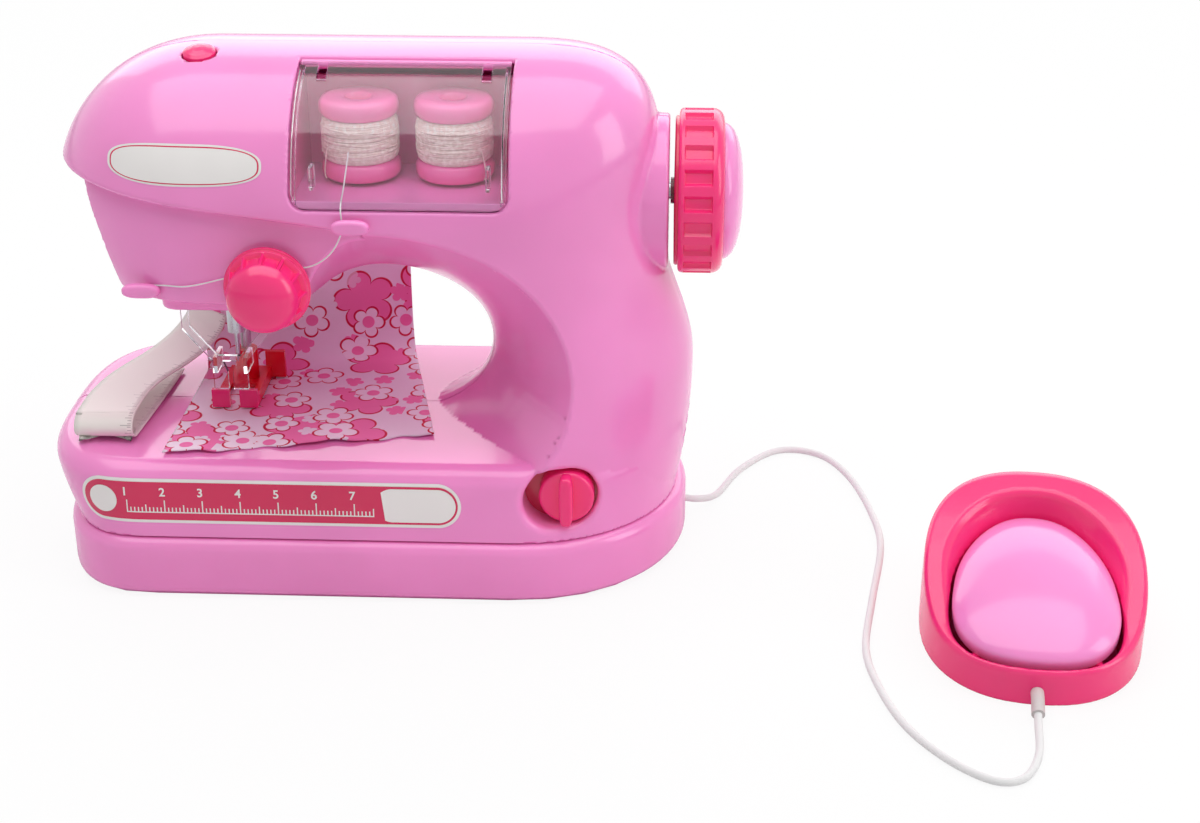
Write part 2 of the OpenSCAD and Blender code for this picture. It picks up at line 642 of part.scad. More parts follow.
module needle() {
  color(steel) {
    rod_z(needle_tip + 3, needle_tip + 21, needle_x, 0, 0.8);
    translate([needle_x, 0, needle_tip]) cylinder(h = 3.05, r1 = 0.2, r2 = 0.8);
  }
}
sole = bed_h + foot_gap;
module presser_bar() { color(steel) rod_z(sole + 7, head_top + 10, needle_x, presser_y, presser_r); }
module presser_foot() {
  color(red) difference() {
    union() {
      box([needle_x - foot_w / 2, -11, sole], [needle_x + foot_w / 2, foot_l - 11, sole + 1.8]);
      box([needle_x - foot_w / 2, -11, sole], [needle_x + foot_w / 2, -9, sole + 6.6]);
      box([needle_x + foot_w / 2 - 2, -11, sole], [needle_x + foot_w / 2, foot_l - 11, sole + 4.4]);
      box([needle_x + foot_w / 2 - 2, foot_l - 17, sole],
        [needle_x + foot_w / 2 + 5, foot_l - 15, sole + 10]);
      rod_z(sole, sole + 13, needle_x, presser_y, presser_r + 2);
    }
    box([needle_x - 1.8, -12, sole - 1], [needle_x + 1.8, 5, sole + 9]);
    box([needle_x - 4.5, -7.5, sole - 1], [needle_x + 4.5, 6, sole + 1.9]);
    rod_z(sole + 7, sole + 20, needle_x, presser_y, presser_r + 0.02);
  }
}
guard_y = -14;
module needle_guard() {
  top = head_bottom - 7.05;
  half = [[6, sole + 8.4], [6, sole + 19], [15.6, head_bottom - 23], [15.6, top], [13, top],
    [13, head_bottom - 22], [4, sole + 21]];
  color(clear) difference() {
    union() {
      along_y(guard_y, guard_y + 1.6) translate([needle_x, 0]) polygon(concat(
        [for (q = half) q], [for (i = [len(half) - 1:-1:0]) [-half[i][0], half[i][1]]]));
      for (s = [-1, 1]) box([needle_x + s * 5.3 - 0.7, guard_y, sole + 14],
        [needle_x + s * 5.3 + 0.7, guard_y + 11, sole + 20]);
    }
    along_y(guard_y - 1, guard_y + 3) translate([needle_x, 0]) polygon([[-0.9, sole], [0.9, sole],
      [0.9, sole + 15], [2.4, sole + 19], [-2.4, sole + 19], [-0.9, sole + 15]]);
  }
}
lamp_at = [-42, -19];
module led_lamp() {
  color([0.95, 0.95, 0.9]) {
    rod_z(head_bottom - 7, head_bottom - 1, lamp_at[0], lamp_at[1], 2.5);
    rod_z(head_bottom - 4.6, head_bottom - 3.2, lamp_at[0], lamp_at[1], 3.4);
    translate([lamp_at[0], lamp_at[1], head_bottom - 7]) sphere(2.45);
  }
}

// Tension dial and thread hooks
head_face = -(side_half(dial_h) - head_step);
module dial_bush() {
  color(steel) difference() {
    union() {
      rod_y(head_face - 0.7, head_face + 10, dial_x, dial_h, shaft_r + 1.6);
      difference() {
        rod_y(head_face + wall + 1.1, head_face + wall + 2.9, dial_x, dial_h, shaft_r + 5);
        box([dial_x - 20, -60, dial_h - 20], [dial_x + 20, -30, head_bottom + wall + 0.7]);
      }
    }
    rod_y(head_face - 5, head_face + 20, dial_x, dial_h, shaft_r + run_gap);
  }
}
dial_back = head_face - 1.5;
module tension_dial() {
  color(hot) {
    difference() {
      translate([dial_x, dial_back, dial_h]) rotate([90, 0, 0]) rotate_extrude() polygon([[0, 0],
        [dial_r, 0], [dial_r, 1.3], [dial_r - 1, 1.8], [dial_r - 1, 10],
        [dial_r - 2, 12], [dial_r - 4, 13.6],
        [dial_r - 8, 15], [0, 15.6]]);
      for (i = [0:11]) translate([dial_x, dial_back, dial_h]) rotate([90, 0, 0]) rotate(30 * i + 8)
        translate([dial_r - 2.4, -2.3, 3]) cube([4, 4.6, 6]);
    }
    rod_y(dial_back - 0.1, head_face + 11, dial_x, dial_h, shaft_r);
  }
}
upper_at = [2.3, -side_half(crest_h - 46), crest_h - 45.9];
lower_at = [-68, -45.6, head_bottom + 4.5];
module hook(at, w, h, peg) {
  along_y(at[1] - 3.6, at[1] - 1.8) slot2d(at[0] - w / 2 + h / 2, at[0] + w / 2 - h / 2, at[2], h / 2);
  box([at[0] + 0.4, at[1] - 1.9, at[2] - h / 2 + 0.2], [at[0] + 4, at[1] - 0.4, at[2] + 0.6]);
  rod_y(at[1] - 0.5, at[1] + peg, at[0] + 2.2, at[2] - 1.4, 1.2);
}
module upper_hook() { color(pink) hook(upper_at, 12, 5, 3.5); }
module lower_hook() { color(pink) hook(lower_at, 11, 4.5, 6); }

// Top button
function top_at(y) = shoulder_h + (crest_h - shoulder_h)
  * pow(1 - pow(abs(y) / arm_half, crown_n), 1 / crown_n);
button_z = top_at(-12) - 0.8;
module at_button() { translate([button_x, -12, button_z]) rotate([button_tilt, 0, 0]) children(); }
module top_button() {
  color(hot) at_button() rotate_extrude() polygon([[0, -10.4], [1.8, -10.4], [1.8, -5.2],
    [button_r + 1.6, -5.2], [button_r + 1.6, -4], [button_r, -4], [button_r, 1.2], [button_r - 1, 1.9],
    [button_r - 3, 2.5], [0, 2.7]]);
}
module button_switch() {
  color([0.2, 0.2, 0.22])
    box([button_x - 3, -12.2, head_top + 12.05], [button_x + 3, -6.2, button_z - 13.4]);
}

// Spool bay and clear cover
bay_x0 = window_x - 0.3;
bay_x1 = window_x + window_w + 0.3;
bay_floor = window_h + 2.2;
cover_gap = 0.8;
hinge_y = -16;
hinge_z = top_at(hinge_y) - 1.6;
a_low = asin(pow((window_h + cover_gap - shoulder_h) / (crest_h - shoulder_h), crown_n / 2));
a_high = acos(pow(-hinge_y / arm_half, crown_n / 2));
function crown_run(e, n, a0, a1) = [for (i = [0:n]) let (a = a0 + (a1 - a0) * i / n)
  [-crown_y(a, e), crown_z(a, e)]];
module window_gap() {
  along_x(bay_x0 - 2, bay_x1 + 2) polygon([[-90, window_h], [-40, window_h], [-30, window_h + 20],
    [hinge_y + 1.8, crest_h - 16], [hinge_y + 1.8, crest_h + 20], [-90, crest_h + 20]]);
}
module spool_tray() {
  color(pink) difference() {
    union() {
      for (x = [bay_x0 - 1.7, bay_x1]) along_x(x, x + 1.7)
        polygon(concat([[-5, bay_floor - 2], [-47, bay_floor - 2]], crown_run(0.3, 14, a_low + 1, a_high),
          [[hinge_y + 1.5, hinge_z - 1.6], [-5, hinge_z - 6]]));
      box([bay_x0 - 1.7, -48.4, bay_floor - 2], [bay_x1 + 1.7, -4.6, bay_floor]);
      box([bay_x0 - 1.7, -6.6, bay_floor - 2], [bay_x1 + 1.7, -4.6, hinge_z - 6]);
      for (i = [0:1])
        rod_z(bay_floor - 1, bay_floor + spool_h - 3, spool_x + i * spool_pitch, spool_y, spindle_r);
      for (i = [0:1]) rod_z(bay_floor - 1, bay_floor + 0.4, spool_x + i * spool_pitch, spool_y, 5);
    }
    rod_x(bay_x0 - 3, bay_x1 + 3, hinge_y, hinge_z, 0.8 + run_gap);
  }
}
module window_cover() {
  color(clear) difference() {
    union() {
      along_x(window_x + 0.2, window_x + window_w - 0.2) polygon(concat(crown_run(0, 16, a_low, a_high),
        [for (i = [16:-1:0]) let (a = a_low + (a_high - a_low) * i / 16)
          [-crown_y(a, cover_t), crown_z(a, cover_t)]]));
      rod_x(window_x + 0.2, window_x + window_w - 0.2, hinge_y, hinge_z, 1.5);
      rod_x(window_x - 1.6, window_x + window_w + 1.6, hinge_y, hinge_z, 0.8);
    }
    box([spool_x - 4.5, -60, window_h - 1], [spool_x - 0.5, -40, window_h + 4.2]);
    for (x = [window_x + 6, window_x + window_w - 9])
      box([x, hinge_y - 12, hinge_z - 8], [x + 3, hinge_y - 1.7, hinge_z + 8]);
  }
}
barrel_r = spool_r - 2.1;
wind_h = spool_h - 2 * flange_t;
strand_r = 0.43;
wind_pitch = (wind_h - 2 * strand_r - 0.3) / thread_turns;
echo(turn_gap = wind_pitch - 2 * strand_r);
module spool(x) {
  translate([x, spool_y, bay_floor + 0.7]) rotate_extrude() polygon([[spindle_r + 0.08, 0], [spool_r - 2, 0],
    [spool_r - 0.6, 0.7], [spool_r, 2], [spool_r, flange_t - 2], [spool_r - 0.6, flange_t - 0.7],
    [spool_r - 1.2, flange_t], [barrel_r, flange_t], [barrel_r, spool_h - flange_t],
    [spool_r - 1.2, spool_h - flange_t],
    [spool_r - 0.6, spool_h - flange_t + 0.7], [spool_r, spool_h - flange_t + 2], [spool_r, spool_h - 2],
    [spool_r - 0.6, spool_h - 0.7], [spool_r - 2, spool_h], [spindle_r + 0.08, spool_h]]);
}
module winding(x) {
  sides = 16;
  r = (barrel_r + 0.08 + strand_r) / cos(180 / sides);
  translate([x, spool_y, bay_floor + 0.7 + flange_t + 0.15 + strand_r])
    sweep([for (i = [0:thread_turns * sides]) let (a = 360 * i / sides)
      [r * cos(a), r * sin(a), wind_pitch * i / sides]], strand_r, 6, [0, 0, 1]);
}
module left_spool() { color(hot) spool(spool_x); }
module right_spool() { color(hot) spool(spool_x + spool_pitch); }
module left_thread() { color(cream) winding(spool_x); }
module right_thread() { color(cream) winding(spool_x + spool_pitch); }
module sewing_thread() {
  gap_y = head_face - 0.75;
  color(cream) sweep(smooth([[spool_x - 2, spool_y - barrel_r - 2, bay_floor + 12],
    [spool_x - 2.4, -44, bay_floor + 3.6], [spool_x - 2.5, -51.2, window_h + 2],
    [spool_x - 2.3, upper_at[1] - 0.9, upper_at[2] + 1.9],
    [spool_x - 2.6, upper_at[1] - 0.9, upper_at[2] - 2.5], [spool_x - 7, -50.6, upper_at[2] - 10.1],
    [dial_x + 13, gap_y, dial_h + 7], [dial_x, gap_y, dial_h + 6.6],
    [dial_x - 13, gap_y, dial_h + 3], [lower_at[0] + 16, -49, lower_at[2] + 2.3],
    [lower_at[0] + 7, -47, lower_at[2] + 1.7], [lower_at[0] - 1, lower_at[1] - 1.1, lower_at[2] + 1.2],
    [lower_at[0] - 4, lower_at[1] - 1, lower_at[2] + 0.1]], 3),
    0.3, 6, [0.1, 0.99, 0.05]);
}

// Cloth and tape measure
cloth_bend = 70;
cloth_round = 14;
cloth_top = head_bottom - 21;
cloth_l = cloth_bend + cloth_round * (PI / 2 - 1) + cloth_top - bed_h;
cloth_taper = 15;
function cloth_side(v) = v < cloth_bend ? [v, 0]
  : v < cloth_bend + cloth_round * PI / 2
    ? let (a = (v - cloth_bend) / cloth_round * 180 / PI)
      [cloth_bend + cloth_round * sin(a), cloth_round * (1 - cos(a))]
    : [cloth_bend + cloth_round, v - cloth_bend - cloth_round * (PI / 2 - 1)];
function cloth_at(u, v) = let (s = cloth_side(v), ease = max(0, 1 - v / 26))
  [cloth_w * u + cloth_taper * (1 - u) * min(1, v / cloth_bend), s[0],
    bed_h + 0.15 + s[1] + 0.5 * ease * (1 + sin(u * 700 + 40)) * ease];
module sewing_cloth() {
  nu = 11;
  nv = 24;
  color([0.92, 0.9, 0.92]) translate([-66.5, -49.5, 0]) rotate(cloth_turn) loft([for (j = [0:nv])
    let (v = cloth_l * j / nv, d = cloth_side(v + 0.1) - cloth_side(v - 0.1), n = [0, -d[1], d[0]] / norm(d))
    concat([for (i = [nu:-1:0]) cloth_at(i / nu, v)],
      [for (i = [0:nu]) cloth_at(i / nu, v) + cloth_t * n])], true);
}
tape_low = bed_h + 0.15 + cloth_t + 0.75;
tape_fold = 3.9;
tape_at = [-88.2, -33.5];
tape_high = tape_low + 2 * tape_fold;
tape_path = concat([[-84.8, 22, tape_low], [-85.6, 4, tape_low], [-87.2, -20, tape_low]],
  [for (a = [0:15:180])
    [tape_at[0], tape_at[1] - 1.5 * tape_fold * sin(a), tape_low + tape_fold * (1 - cos(a))]],
  [[-88, -20, tape_high], [-86.2, -8.5, tape_high], [-83, 1.5, tape_high], [-78.9, 10, tape_high + 0.4],
    [-74.9, 17.6, tape_high + 1.6], [-71.2, 24, tape_high + 3.8], [-68.2, 28.8, tape_high + 7.2],
    [-66.2, 31.6, tape_high + 11.6]]);
module tape_measure() {
  last = len(tape_path) - 1;
  color(cream) loft([for (i = [0:last])
    let (t = unit(tape_path[min(last, i + 1)] - tape_path[max(0, i - 1)]),
      flat = norm([t[0], t[1]]) > 0.2 ? [t[0], t[1]] : [0, 1],
      side = tape_w / 2 * sign(flat[1]) * unit([flat[1], -flat[0], 0]),
      up = tape_t / 2 * cross(unit(side), t))
    [tape_path[i] + side - up, tape_path[i] - side - up, tape_path[i] - side + up,
      tape_path[i] + side + up]], true);
}

// Pedal and its cord
module at_pedal() { translate([pedal_x, pedal_y, 0]) rotate(pedal_turn) children(); }
function pedal_ring(z, e, k = 14) = [for (i = [0:2 * k - 1]) let (t = 180 * i / k)
  [(pedal_w / 2 - e) * power(cos(t), 2 / 2.3), (pedal_l / 2 - e) * power(sin(t), 2 / 2.3), z]];
plate_c = -0.087 * pedal_l;
plate_half = 0.37 * pedal_l;
plate_side = 0.36 * pedal_w;
plate_gap = 1.5;
function egg(t, sx, sy) = [sx * (1 - 0.22 * sin(t)) * power(cos(t), 2 / 2.3),
  plate_c + sy * power(sin(t), 2 / 2.3)];
function plate_ring(s, h) = [for (i = [0:27])
  let (q = egg(180 * i / 14, plate_side * s, plate_half * s))
  [q[0], q[1], pedal_lip - 0.5 + h + 0.2 * (q[1] + pedal_l / 2 - 4)]];
module pedal_solid(e) {
  steps = [[0, 2.4], [1.2, 0.4], [4, 0], [20, 0.5], [32, 1.8], [38, 4], [40.4, 7], [42, 12]];
  loft([for (s = steps)
    pedal_ring((e > 0 ? -2 + s[0] * (pedal_h + 2 - e) / 42 : s[0] * pedal_h / 42), s[1] + e)]);
}
module pedal_well(e, z0) {
  translate([0, 0, z0]) linear_extrude(70) polygon([for (i = [0:27])
    egg(180 * i / 14, plate_side + plate_gap + e, plate_half + plate_gap + e)]);
}
module pedal_slope() {
  k = pedal_l / 92;
  along_x(-60, 60) polygon([[-70 * k, pedal_lip], [-34 * k, pedal_lip + 0.5], [-25 * k, pedal_lip + 2.2],
    [-10 * k, pedal_lip + 9.5], [0, pedal_lip + 14.5], [20 * k, pedal_lip + 21.7], [46 * k, pedal_h + 0.6],
    [60 * k, pedal_h + 2], [60 * k, 90], [-70 * k, 90]]);
}
cord_in = 5;
pedal_screw_y = pedal_l / 2 - 8.5;
module pedal_housing() {
  color(hot) at_pedal() difference() {
    union() {
      difference() {
        pedal_solid(0);
        difference() {
          pedal_solid(2.4);
          box([-60, -70, pedal_lip - 3.4], [60, -8, 90]);
          box([-60, -9, pedal_lip + 7.5], [60, 16, 90]);
          box([-60, 15, pedal_lip + 17.5], [60, 70, 90]);
        }
      }
      intersection() {
        pedal_solid(0);
        difference() {
          pedal_well(2, pedal_lip - 3);
          pedal_well(0, 0);
        }
      }
      intersection() {
        pedal_solid(1);
        hull() rod_z(plate_t + 0.1, pedal_h - 2, 0, pedal_screw_y, 4, $fn = 16);
      }
    }
    pedal_slope();
    pedal_well(0, 2);
    hull() rod_z(-1, 20, 0, pedal_screw_y, 1.75, $fn = 16);
    hull() rod_y(-60, 10 - pedal_l / 2, 0, cord_in, cord_d / 2 + 0.4, $fn = 20);
    for (x = [-24:6.9:24]) hull() {
      rod_y(pedal_l / 2 - 6, 60, x, 8, 0.8, $fn = 8);
      rod_y(pedal_l / 2 - 6, 60, x, 18, 0.8, $fn = 8);
    }
  }
}
pivot = [12 - pedal_l / 2, 8.2];
switch_y = 0.1 * pedal_l;
module pedal_base() {
  color(hot) at_pedal() difference() {
    union() {
      linear_extrude(plate_t) polygon([for (q = pedal_ring(0, 5.6)) [q[0], q[1]]]);
      for (s = [-1, 1]) box([s * 18 - 2, pivot[0] - 3, 1], [s * 18 + 2, pivot[0] + 3, pivot[1] + 3]);
      box([-4, 7.8 - pedal_l / 2, 1], [4, 8.6 - pedal_l / 2, cord_in + 2.8]);
      for (s = [-1, 1]) box([s * 8.5 - 1, switch_y - 5.2, 1], [s * 8.5 + 1, switch_y + 4.8, 10]);
    }
    rod_x(-40, 40, pivot[0], pivot[1], 1.52);
    rod_z(-1, 5, 0, pedal_screw_y, 1.75);
    rod_z(-1, 1.6, 0, pedal_screw_y, 3.2);
  }
}
module pedal_plate() {
  color(pink) at_pedal() loft([plate_ring(0.25, 7), plate_ring(0.5, 6.2), plate_ring(0.75, 4.4),
    plate_ring(0.9, 2), plate_ring(0.95, 0), plate_ring(1, 0), plate_ring(1, 1.8), plate_ring(0.965, 3.4),
    plate_ring(0.9, 4.9),
    plate_ring(0.75, 7), plate_ring(0.5, 8.8), plate_ring(0.25, 9.6)]);
}
module plate_hinge() {
  color(pink) at_pedal() difference() {
    union() {
      rod_x(-14, 14, pivot[0], pivot[1], 2.8);
      box([-11, pivot[0] - 1.4, pivot[1]], [11, pivot[0] + 1.4, pedal_lip + 3.2]);
    }
    rod_x(-20, 20, pivot[0], pivot[1], 1.5 + run_gap);
  }
}
module pedal_pivot() { color(steel) at_pedal() rod_x(-19.6, 19.6, pivot[0], pivot[1], 1.5); }
module pedal_switch() {
  color([0.2, 0.2, 0.22]) at_pedal() {
    box([-7.4, switch_y - 5.2, plate_t + 0.05], [7.4, switch_y + 4.8, 20]);
    rod_z(19.9, 23.5, 0, switch_y, 1.6);
  }
}
module pedal_screws() {
  color(steel) at_pedal() translate([0, pedal_screw_y, 0.1]) difference() {
    union() {
      cylinder(h = 1.4, r = 2.8);
      translate([0, 0, 1.3]) cylinder(h = 8, r = 1.4);
    }
    translate([-2, -0.4, -1]) cube([4, 0.8, 1.5]);
  }
}
function from_pedal(x, y, z) = [pedal_x + x * cos(pedal_turn) - y * sin(pedal_turn),
  pedal_y + x * sin(pedal_turn) + y * cos(pedal_turn), z];
cord_path = [[base_right - 8.9, cord_y, cord_z], [base_right - 2, cord_y + 0.3, cord_z],
  [base_right + 5, cord_y + 4, 4.6],
  [base_right + 12, 22, cord_d / 2 + 0.4], [131, 43, cord_d / 2 + 0.2], [146, 60, cord_d / 2 + 0.2],
  [162, 57, cord_d / 2 + 0.2], [172.5, 38, cord_d / 2 + 0.2], [178.6, 8, cord_d / 2 + 0.2],
  [179.6, -17, cord_d / 2 + 0.2], [173.6, -54, cord_d / 2 + 0.2], [169, -86, cord_d / 2 + 0.2],
  [171.6, -109, cord_d / 2 + 0.2], [177.5, -129, cord_d / 2 + 0.2], [186.4, -144, cord_d / 2 + 0.2],
  [196, -154, cord_d / 2 + 0.2], [204, -157.5, cord_d / 2 + 0.2], [211, -154, cord_d / 2 + 0.2],
  from_pedal(-0.6, -28 - pedal_l / 2, 1.6), from_pedal(-0.2, -14 - pedal_l / 2, 2.8),
  from_pedal(0, -4 - pedal_l / 2, cord_in - 0.3), from_pedal(0, 1 - pedal_l / 2, cord_in),
  from_pedal(0, 7.7 - pedal_l / 2, cord_in)];
module pedal_cord() { color(cream) sweep(smooth(cord_path, 3), cord_d / 2, 8, [0, 0, 1]); }

front_shell();
rear_shell();
base_skirt();
bottom_plate();
battery_door();
batteries();
battery_contacts();
shell_screws();
base_screws();
circuit_board();
speaker();
cord_clamp();
switch_plate();
slide_switch();
power_knob();
collar_cap();
handwheel();
wheel_cap();
drive_shaft();
shaft_gear();
crank_disc();
gear_frame();
idler_axle();
idler_gear();
motor();
motor_pinion();
head_frame();
needle_bush();
presser_bush();
needle_bar();
needle_yoke();
needle();
presser_bar();
presser_foot();
needle_guard();
led_lamp();
dial_bush();
tension_dial();
top_button();
button_switch();
spool_tray();
window_cover();
left_spool();
left_thread();
right_spool();
right_thread();
upper_hook();
lower_hook();
sewing_thread();
sewing_cloth();
tape_measure();
pedal_cord();
pedal_base();
pedal_housing();
pedal_plate();
plate_hinge();
pedal_pivot();
pedal_switch();
pedal_screws();
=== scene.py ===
# %% [markdown]
# # A toy sewing machine with its foot pedal
# The construction model comes first: every moving piece already has its place and its joint there.
# This lesson dresses that frame. Softly rounded mouldings take the place of the plain solids, and
# each finish is mixed from shader nodes. Sizes are millimetres and become metres where a mesh is made; the
# lamps, the floor and the printed lengths and areas are in metres.

import math

import bpy
import numpy as np
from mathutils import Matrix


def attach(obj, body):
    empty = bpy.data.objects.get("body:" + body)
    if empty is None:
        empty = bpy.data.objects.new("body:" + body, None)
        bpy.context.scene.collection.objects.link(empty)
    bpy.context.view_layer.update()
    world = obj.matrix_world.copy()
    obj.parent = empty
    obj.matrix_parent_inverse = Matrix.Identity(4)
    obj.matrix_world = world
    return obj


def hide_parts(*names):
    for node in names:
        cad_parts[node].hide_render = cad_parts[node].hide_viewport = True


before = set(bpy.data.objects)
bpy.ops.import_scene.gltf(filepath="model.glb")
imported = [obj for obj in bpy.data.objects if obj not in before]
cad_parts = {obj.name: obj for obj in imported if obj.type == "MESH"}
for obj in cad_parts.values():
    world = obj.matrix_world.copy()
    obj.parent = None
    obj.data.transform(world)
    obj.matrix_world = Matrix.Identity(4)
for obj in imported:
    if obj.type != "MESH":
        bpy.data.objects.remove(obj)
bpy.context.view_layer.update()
MM = 0.001

# %% [markdown]
# ## Camera
# The picture was taken from a little above and to the right of the middle, with a long lens, so the
# upright lines lean only a little. A 60 mm lens on a 36 mm sensor gives the same gentle perspective. A
# shorter lens set nearer would fill the frame too, but it would swell the pedal in front.

# %% Camera
camera_at = (106, -645, 346)
camera_pitch, camera_yaw = 25.0, 2.4
camera_lens, camera_sensor, camera_near = 60, 36, 10
camera_data = bpy.data.cameras.new("camera")
camera_data.lens = camera_lens
camera_data.sensor_width = camera_sensor
camera_data.clip_start = camera_near * MM
camera = bpy.data.objects.new("camera", camera_data)
camera.location = [c * MM for c in camera_at]
camera.rotation_euler = (math.radians(90 - camera_pitch), 0, math.radians(camera_yaw))
bpy.context.collection.objects.link(camera)
bpy.context.scene.camera = camera
print("camera looks down", camera_pitch, "degrees")

# %% [markdown]
# ## Pedal lead and sewing thread
# The lead leaves the plinth at the back right, lies on the table in one lazy bend and comes round to
# the front of the pedal. The thread runs from the left spool over the upper hook and the tension dial
# to the lower hook. A simulated rope would settle a little differently on every change, so both are
# curves with a round bevel, smoothed between a few listed points.

# %% Cords
pedal_at = np.array([224.0, -69.0])
pedal_turn = math.radians(-5.7)


def on_pedal(x, y, z):
    """A place on the pedal, which stands turned beside the machine."""
    c, s = math.cos(pedal_turn), math.sin(pedal_turn)
    return [pedal_at[0] + c * x - s * y, pedal_at[1] + s * x + c * y, z]


def eased(points, steps):
    """Catmull-Rom points, so that the curve goes through every point given."""
    p = np.array(points, float)
    p = np.vstack([p[0], p, p[-1]])
    out = []
    for a, b, c, d in zip(p, p[1:], p[2:], p[3:]):
        for t in np.arange(steps) / steps:
            out.append(0.5 * (2 * b + (c - a) * t + (2 * a - 5 * b + 4 * c - d) * t**2
                              + (3 * b - a - 3 * c + d) * t**3))
    return np.array(out + [p[-1]])


def round_curve(name, points, diameter):
    """A curve object along the points with a round section."""
    data = bpy.data.curves.new(name, "CURVE")
    data.dimensions = "3D"
    data.bevel_depth = diameter / 2 * MM
    data.bevel_resolution = 5
    data.use_fill_caps = True
    spline = data.splines.new("POLY")
    spline.points.add(len(points) - 1)
    flat = np.ones((len(points), 4))
    flat[:, :3] = points * MM
    spline.points.foreach_set("co", flat.ravel())
    spline.use_smooth = True
    curve = bpy.data.objects.new(name, data)
    bpy.context.collection.objects.link(curve)
    return curve


lead_d, thread_d = 2.5, 0.5
lead_z = lead_d / 2 + 0.2
lead_route = [[101.1, 8, 7], [108, 8.3, 7], [115, 12, 4.6], [122, 22, 1.65], [131, 43, lead_z],
              [146, 60, lead_z], [162, 57, lead_z], [172.5, 38, lead_z], [178.6, 8, lead_z],
              [179.6, -17, lead_z], [173.6, -54, lead_z], [169, -86, lead_z], [171.6, -109, lead_z],
              [177.5, -129, lead_z], [186.4, -144, lead_z], [196, -154, lead_z], [204, -157.5, lead_z],
              [211, -154, lead_z], on_pedal(-0.6, -74, 1.6), on_pedal(-0.2, -60, 2.8),
              on_pedal(0, -50, 4.7), on_pedal(0, -45, 5), on_pedal(0, -38.3, 5)]
thread_route = [[-0.2, -33.4, 150.5], [-0.6, -44, 142.1], [-0.7, -51.2, 138.3], [-0.5, -51.99, 134],
                [-0.8, -51.99, 129.6], [-5.2, -50.6, 122], [-13, -49.12, 117], [-26, -49.12, 116.6],
                [-39, -49.12, 113], [-52, -49, 109.8], [-61, -47, 109.2], [-69, -46.7, 108.7],
                [-72, -46.6, 107.6]]


def route_length(points):
    return float(np.linalg.norm(np.diff(points, axis=0), axis=1).sum()) * MM


lead_points = eased(lead_route, 6)
lead = round_curve("pedal_lead", lead_points, lead_d)
thread_points = eased(thread_route, 5)
thread = round_curve("thread_run", thread_points, thread_d)
for cord, node, slot in ((lead, "pedal_cord", "cord"), (thread, "sewing_thread", "thread")):
    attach(cord, "machine")
    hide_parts(node)
print("lead %.3f m, thread %.3f m" % (route_length(lead_points), route_length(thread_points)))

# %% [markdown]
# ## Shader arithmetic
# A finish that varies needs many small Math nodes. Wired by hand, they are slow to write and hard to
# read. One class wraps a socket instead, so that ordinary Python expressions add the nodes: 1 - mask or
# edge * 0.5 just work.

# %% Shader class


class Wire:
    """An output socket that Python arithmetic extends with nodes."""

    def __init__(self, tree, socket=None):
        self.tree = tree
        self.socket = socket

    def add(self, kind, settings=None, sockets=None, out=0):
        """A new node of a kind: its settings first, then the values or links of its sockets."""
        node = self.tree.nodes.new("ShaderNode" + kind)
        for name, value in (settings or {}).items():
            setattr(node, name, value)
        for name, value in (sockets or {}).items():
            if isinstance(value, Wire):
                self.tree.links.new(value.socket, node.inputs[name])
            else:
                node.inputs[name].default_value = value
        return Wire(self.tree, node.outputs[out])

    def math(self, operation, *values):
        return self.add("Math", {"operation": operation}, dict(enumerate(values)))

    def __add__(self, other):
        return self.math("ADD", self, other)

    __radd__ = __add__

    def __sub__(self, other):
        return self.math("SUBTRACT", self, other)

    def __rsub__(self, other):
        return self.math("SUBTRACT", other, self)

    def __mul__(self, other):
        return self.math("MULTIPLY", self, other)

    __rmul__ = __mul__

    def __pow__(self, other):
        return self.math("POWER", self, other)

    def __mod__(self, other):
        return self.math("FLOORED_MODULO", self, other)

    def __lt__(self, other):
        return self.math("LESS_THAN", self, other)

    def __gt__(self, other):
        return self.math("GREATER_THAN", self, other)

    def __abs__(self):
        return self.math("ABSOLUTE", self)

    def most(self, other):
        return self.math("MAXIMUM", self, other)

    def fade(self, low, high):
        """Smooth step from 0 at low to 1 at high."""
        return self.add("MapRange", {"interpolation_type": "SMOOTHSTEP"},
                        {"Value": self, "From Min": low, "From Max": high})

    def blend(self, first, second):
        """Colour first where this value is 0, second where it is 1."""
        return self.add("Mix", {"data_type": "RGBA"}, {0: self, 6: first, 7: second}, out=2)

    def split(self):
        node = self.add("SeparateXYZ", None, {"Vector": self}).socket.node
        return [Wire(self.tree, s) for s in node.outputs]


print("shader class ready")

# %% [markdown]
# ## One shader per finish
# Every plastic, metal and fibre here is one Principled shader with its own numbers. A short function makes
# the material and keeps it by name, so that a piece only has to name its finish.

# %% Finish helper


def srgb(red, green, blue):
    """Screen colour 0 to 255 as the linear colour that shaders work with."""
    values = [c / 255 for c in (red, green, blue)]
    linear = [c / 12.92 if c <= 0.04045 else ((c + 0.055) / 1.055) ** 2.4 for c in values]
    return tuple(linear) + (1.0,)


finishes = {}


def finish(name, **sockets):
    """A material with one Principled shader; each keyword is a socket name with _ for space."""
    material = bpy.data.materials.new(name)
    material.use_nodes = True
    finishes[name] = material
    shader = material.node_tree.nodes["Principled BSDF"]
    for key, value in sockets.items():
        shader.inputs[key.replace("_", " ").title().replace("Ior", "IOR")].default_value = value
    return Wire(material.node_tree), shader


def feed(wire, shader, socket):
    wire.tree.links.new(wire.socket, shader.inputs[socket])


print("finish helper ready")

# %% [markdown]
# ## Plastics and metals
# The housing is polished pale pink plastic and the controls a stronger pink. The recesses and the gap
# behind the handwheel get a deep crimson as painted shade. A smooth Principled shader does the gloss; a
# little scattering under the surface keeps the shaded side warm, as it is in thin moulded plastic.

# %% Plain finishes


def shade(colour, factor):
    """The colour made darker or lighter."""
    return tuple(min(1, c * factor) for c in colour[:3]) + (1.0,)


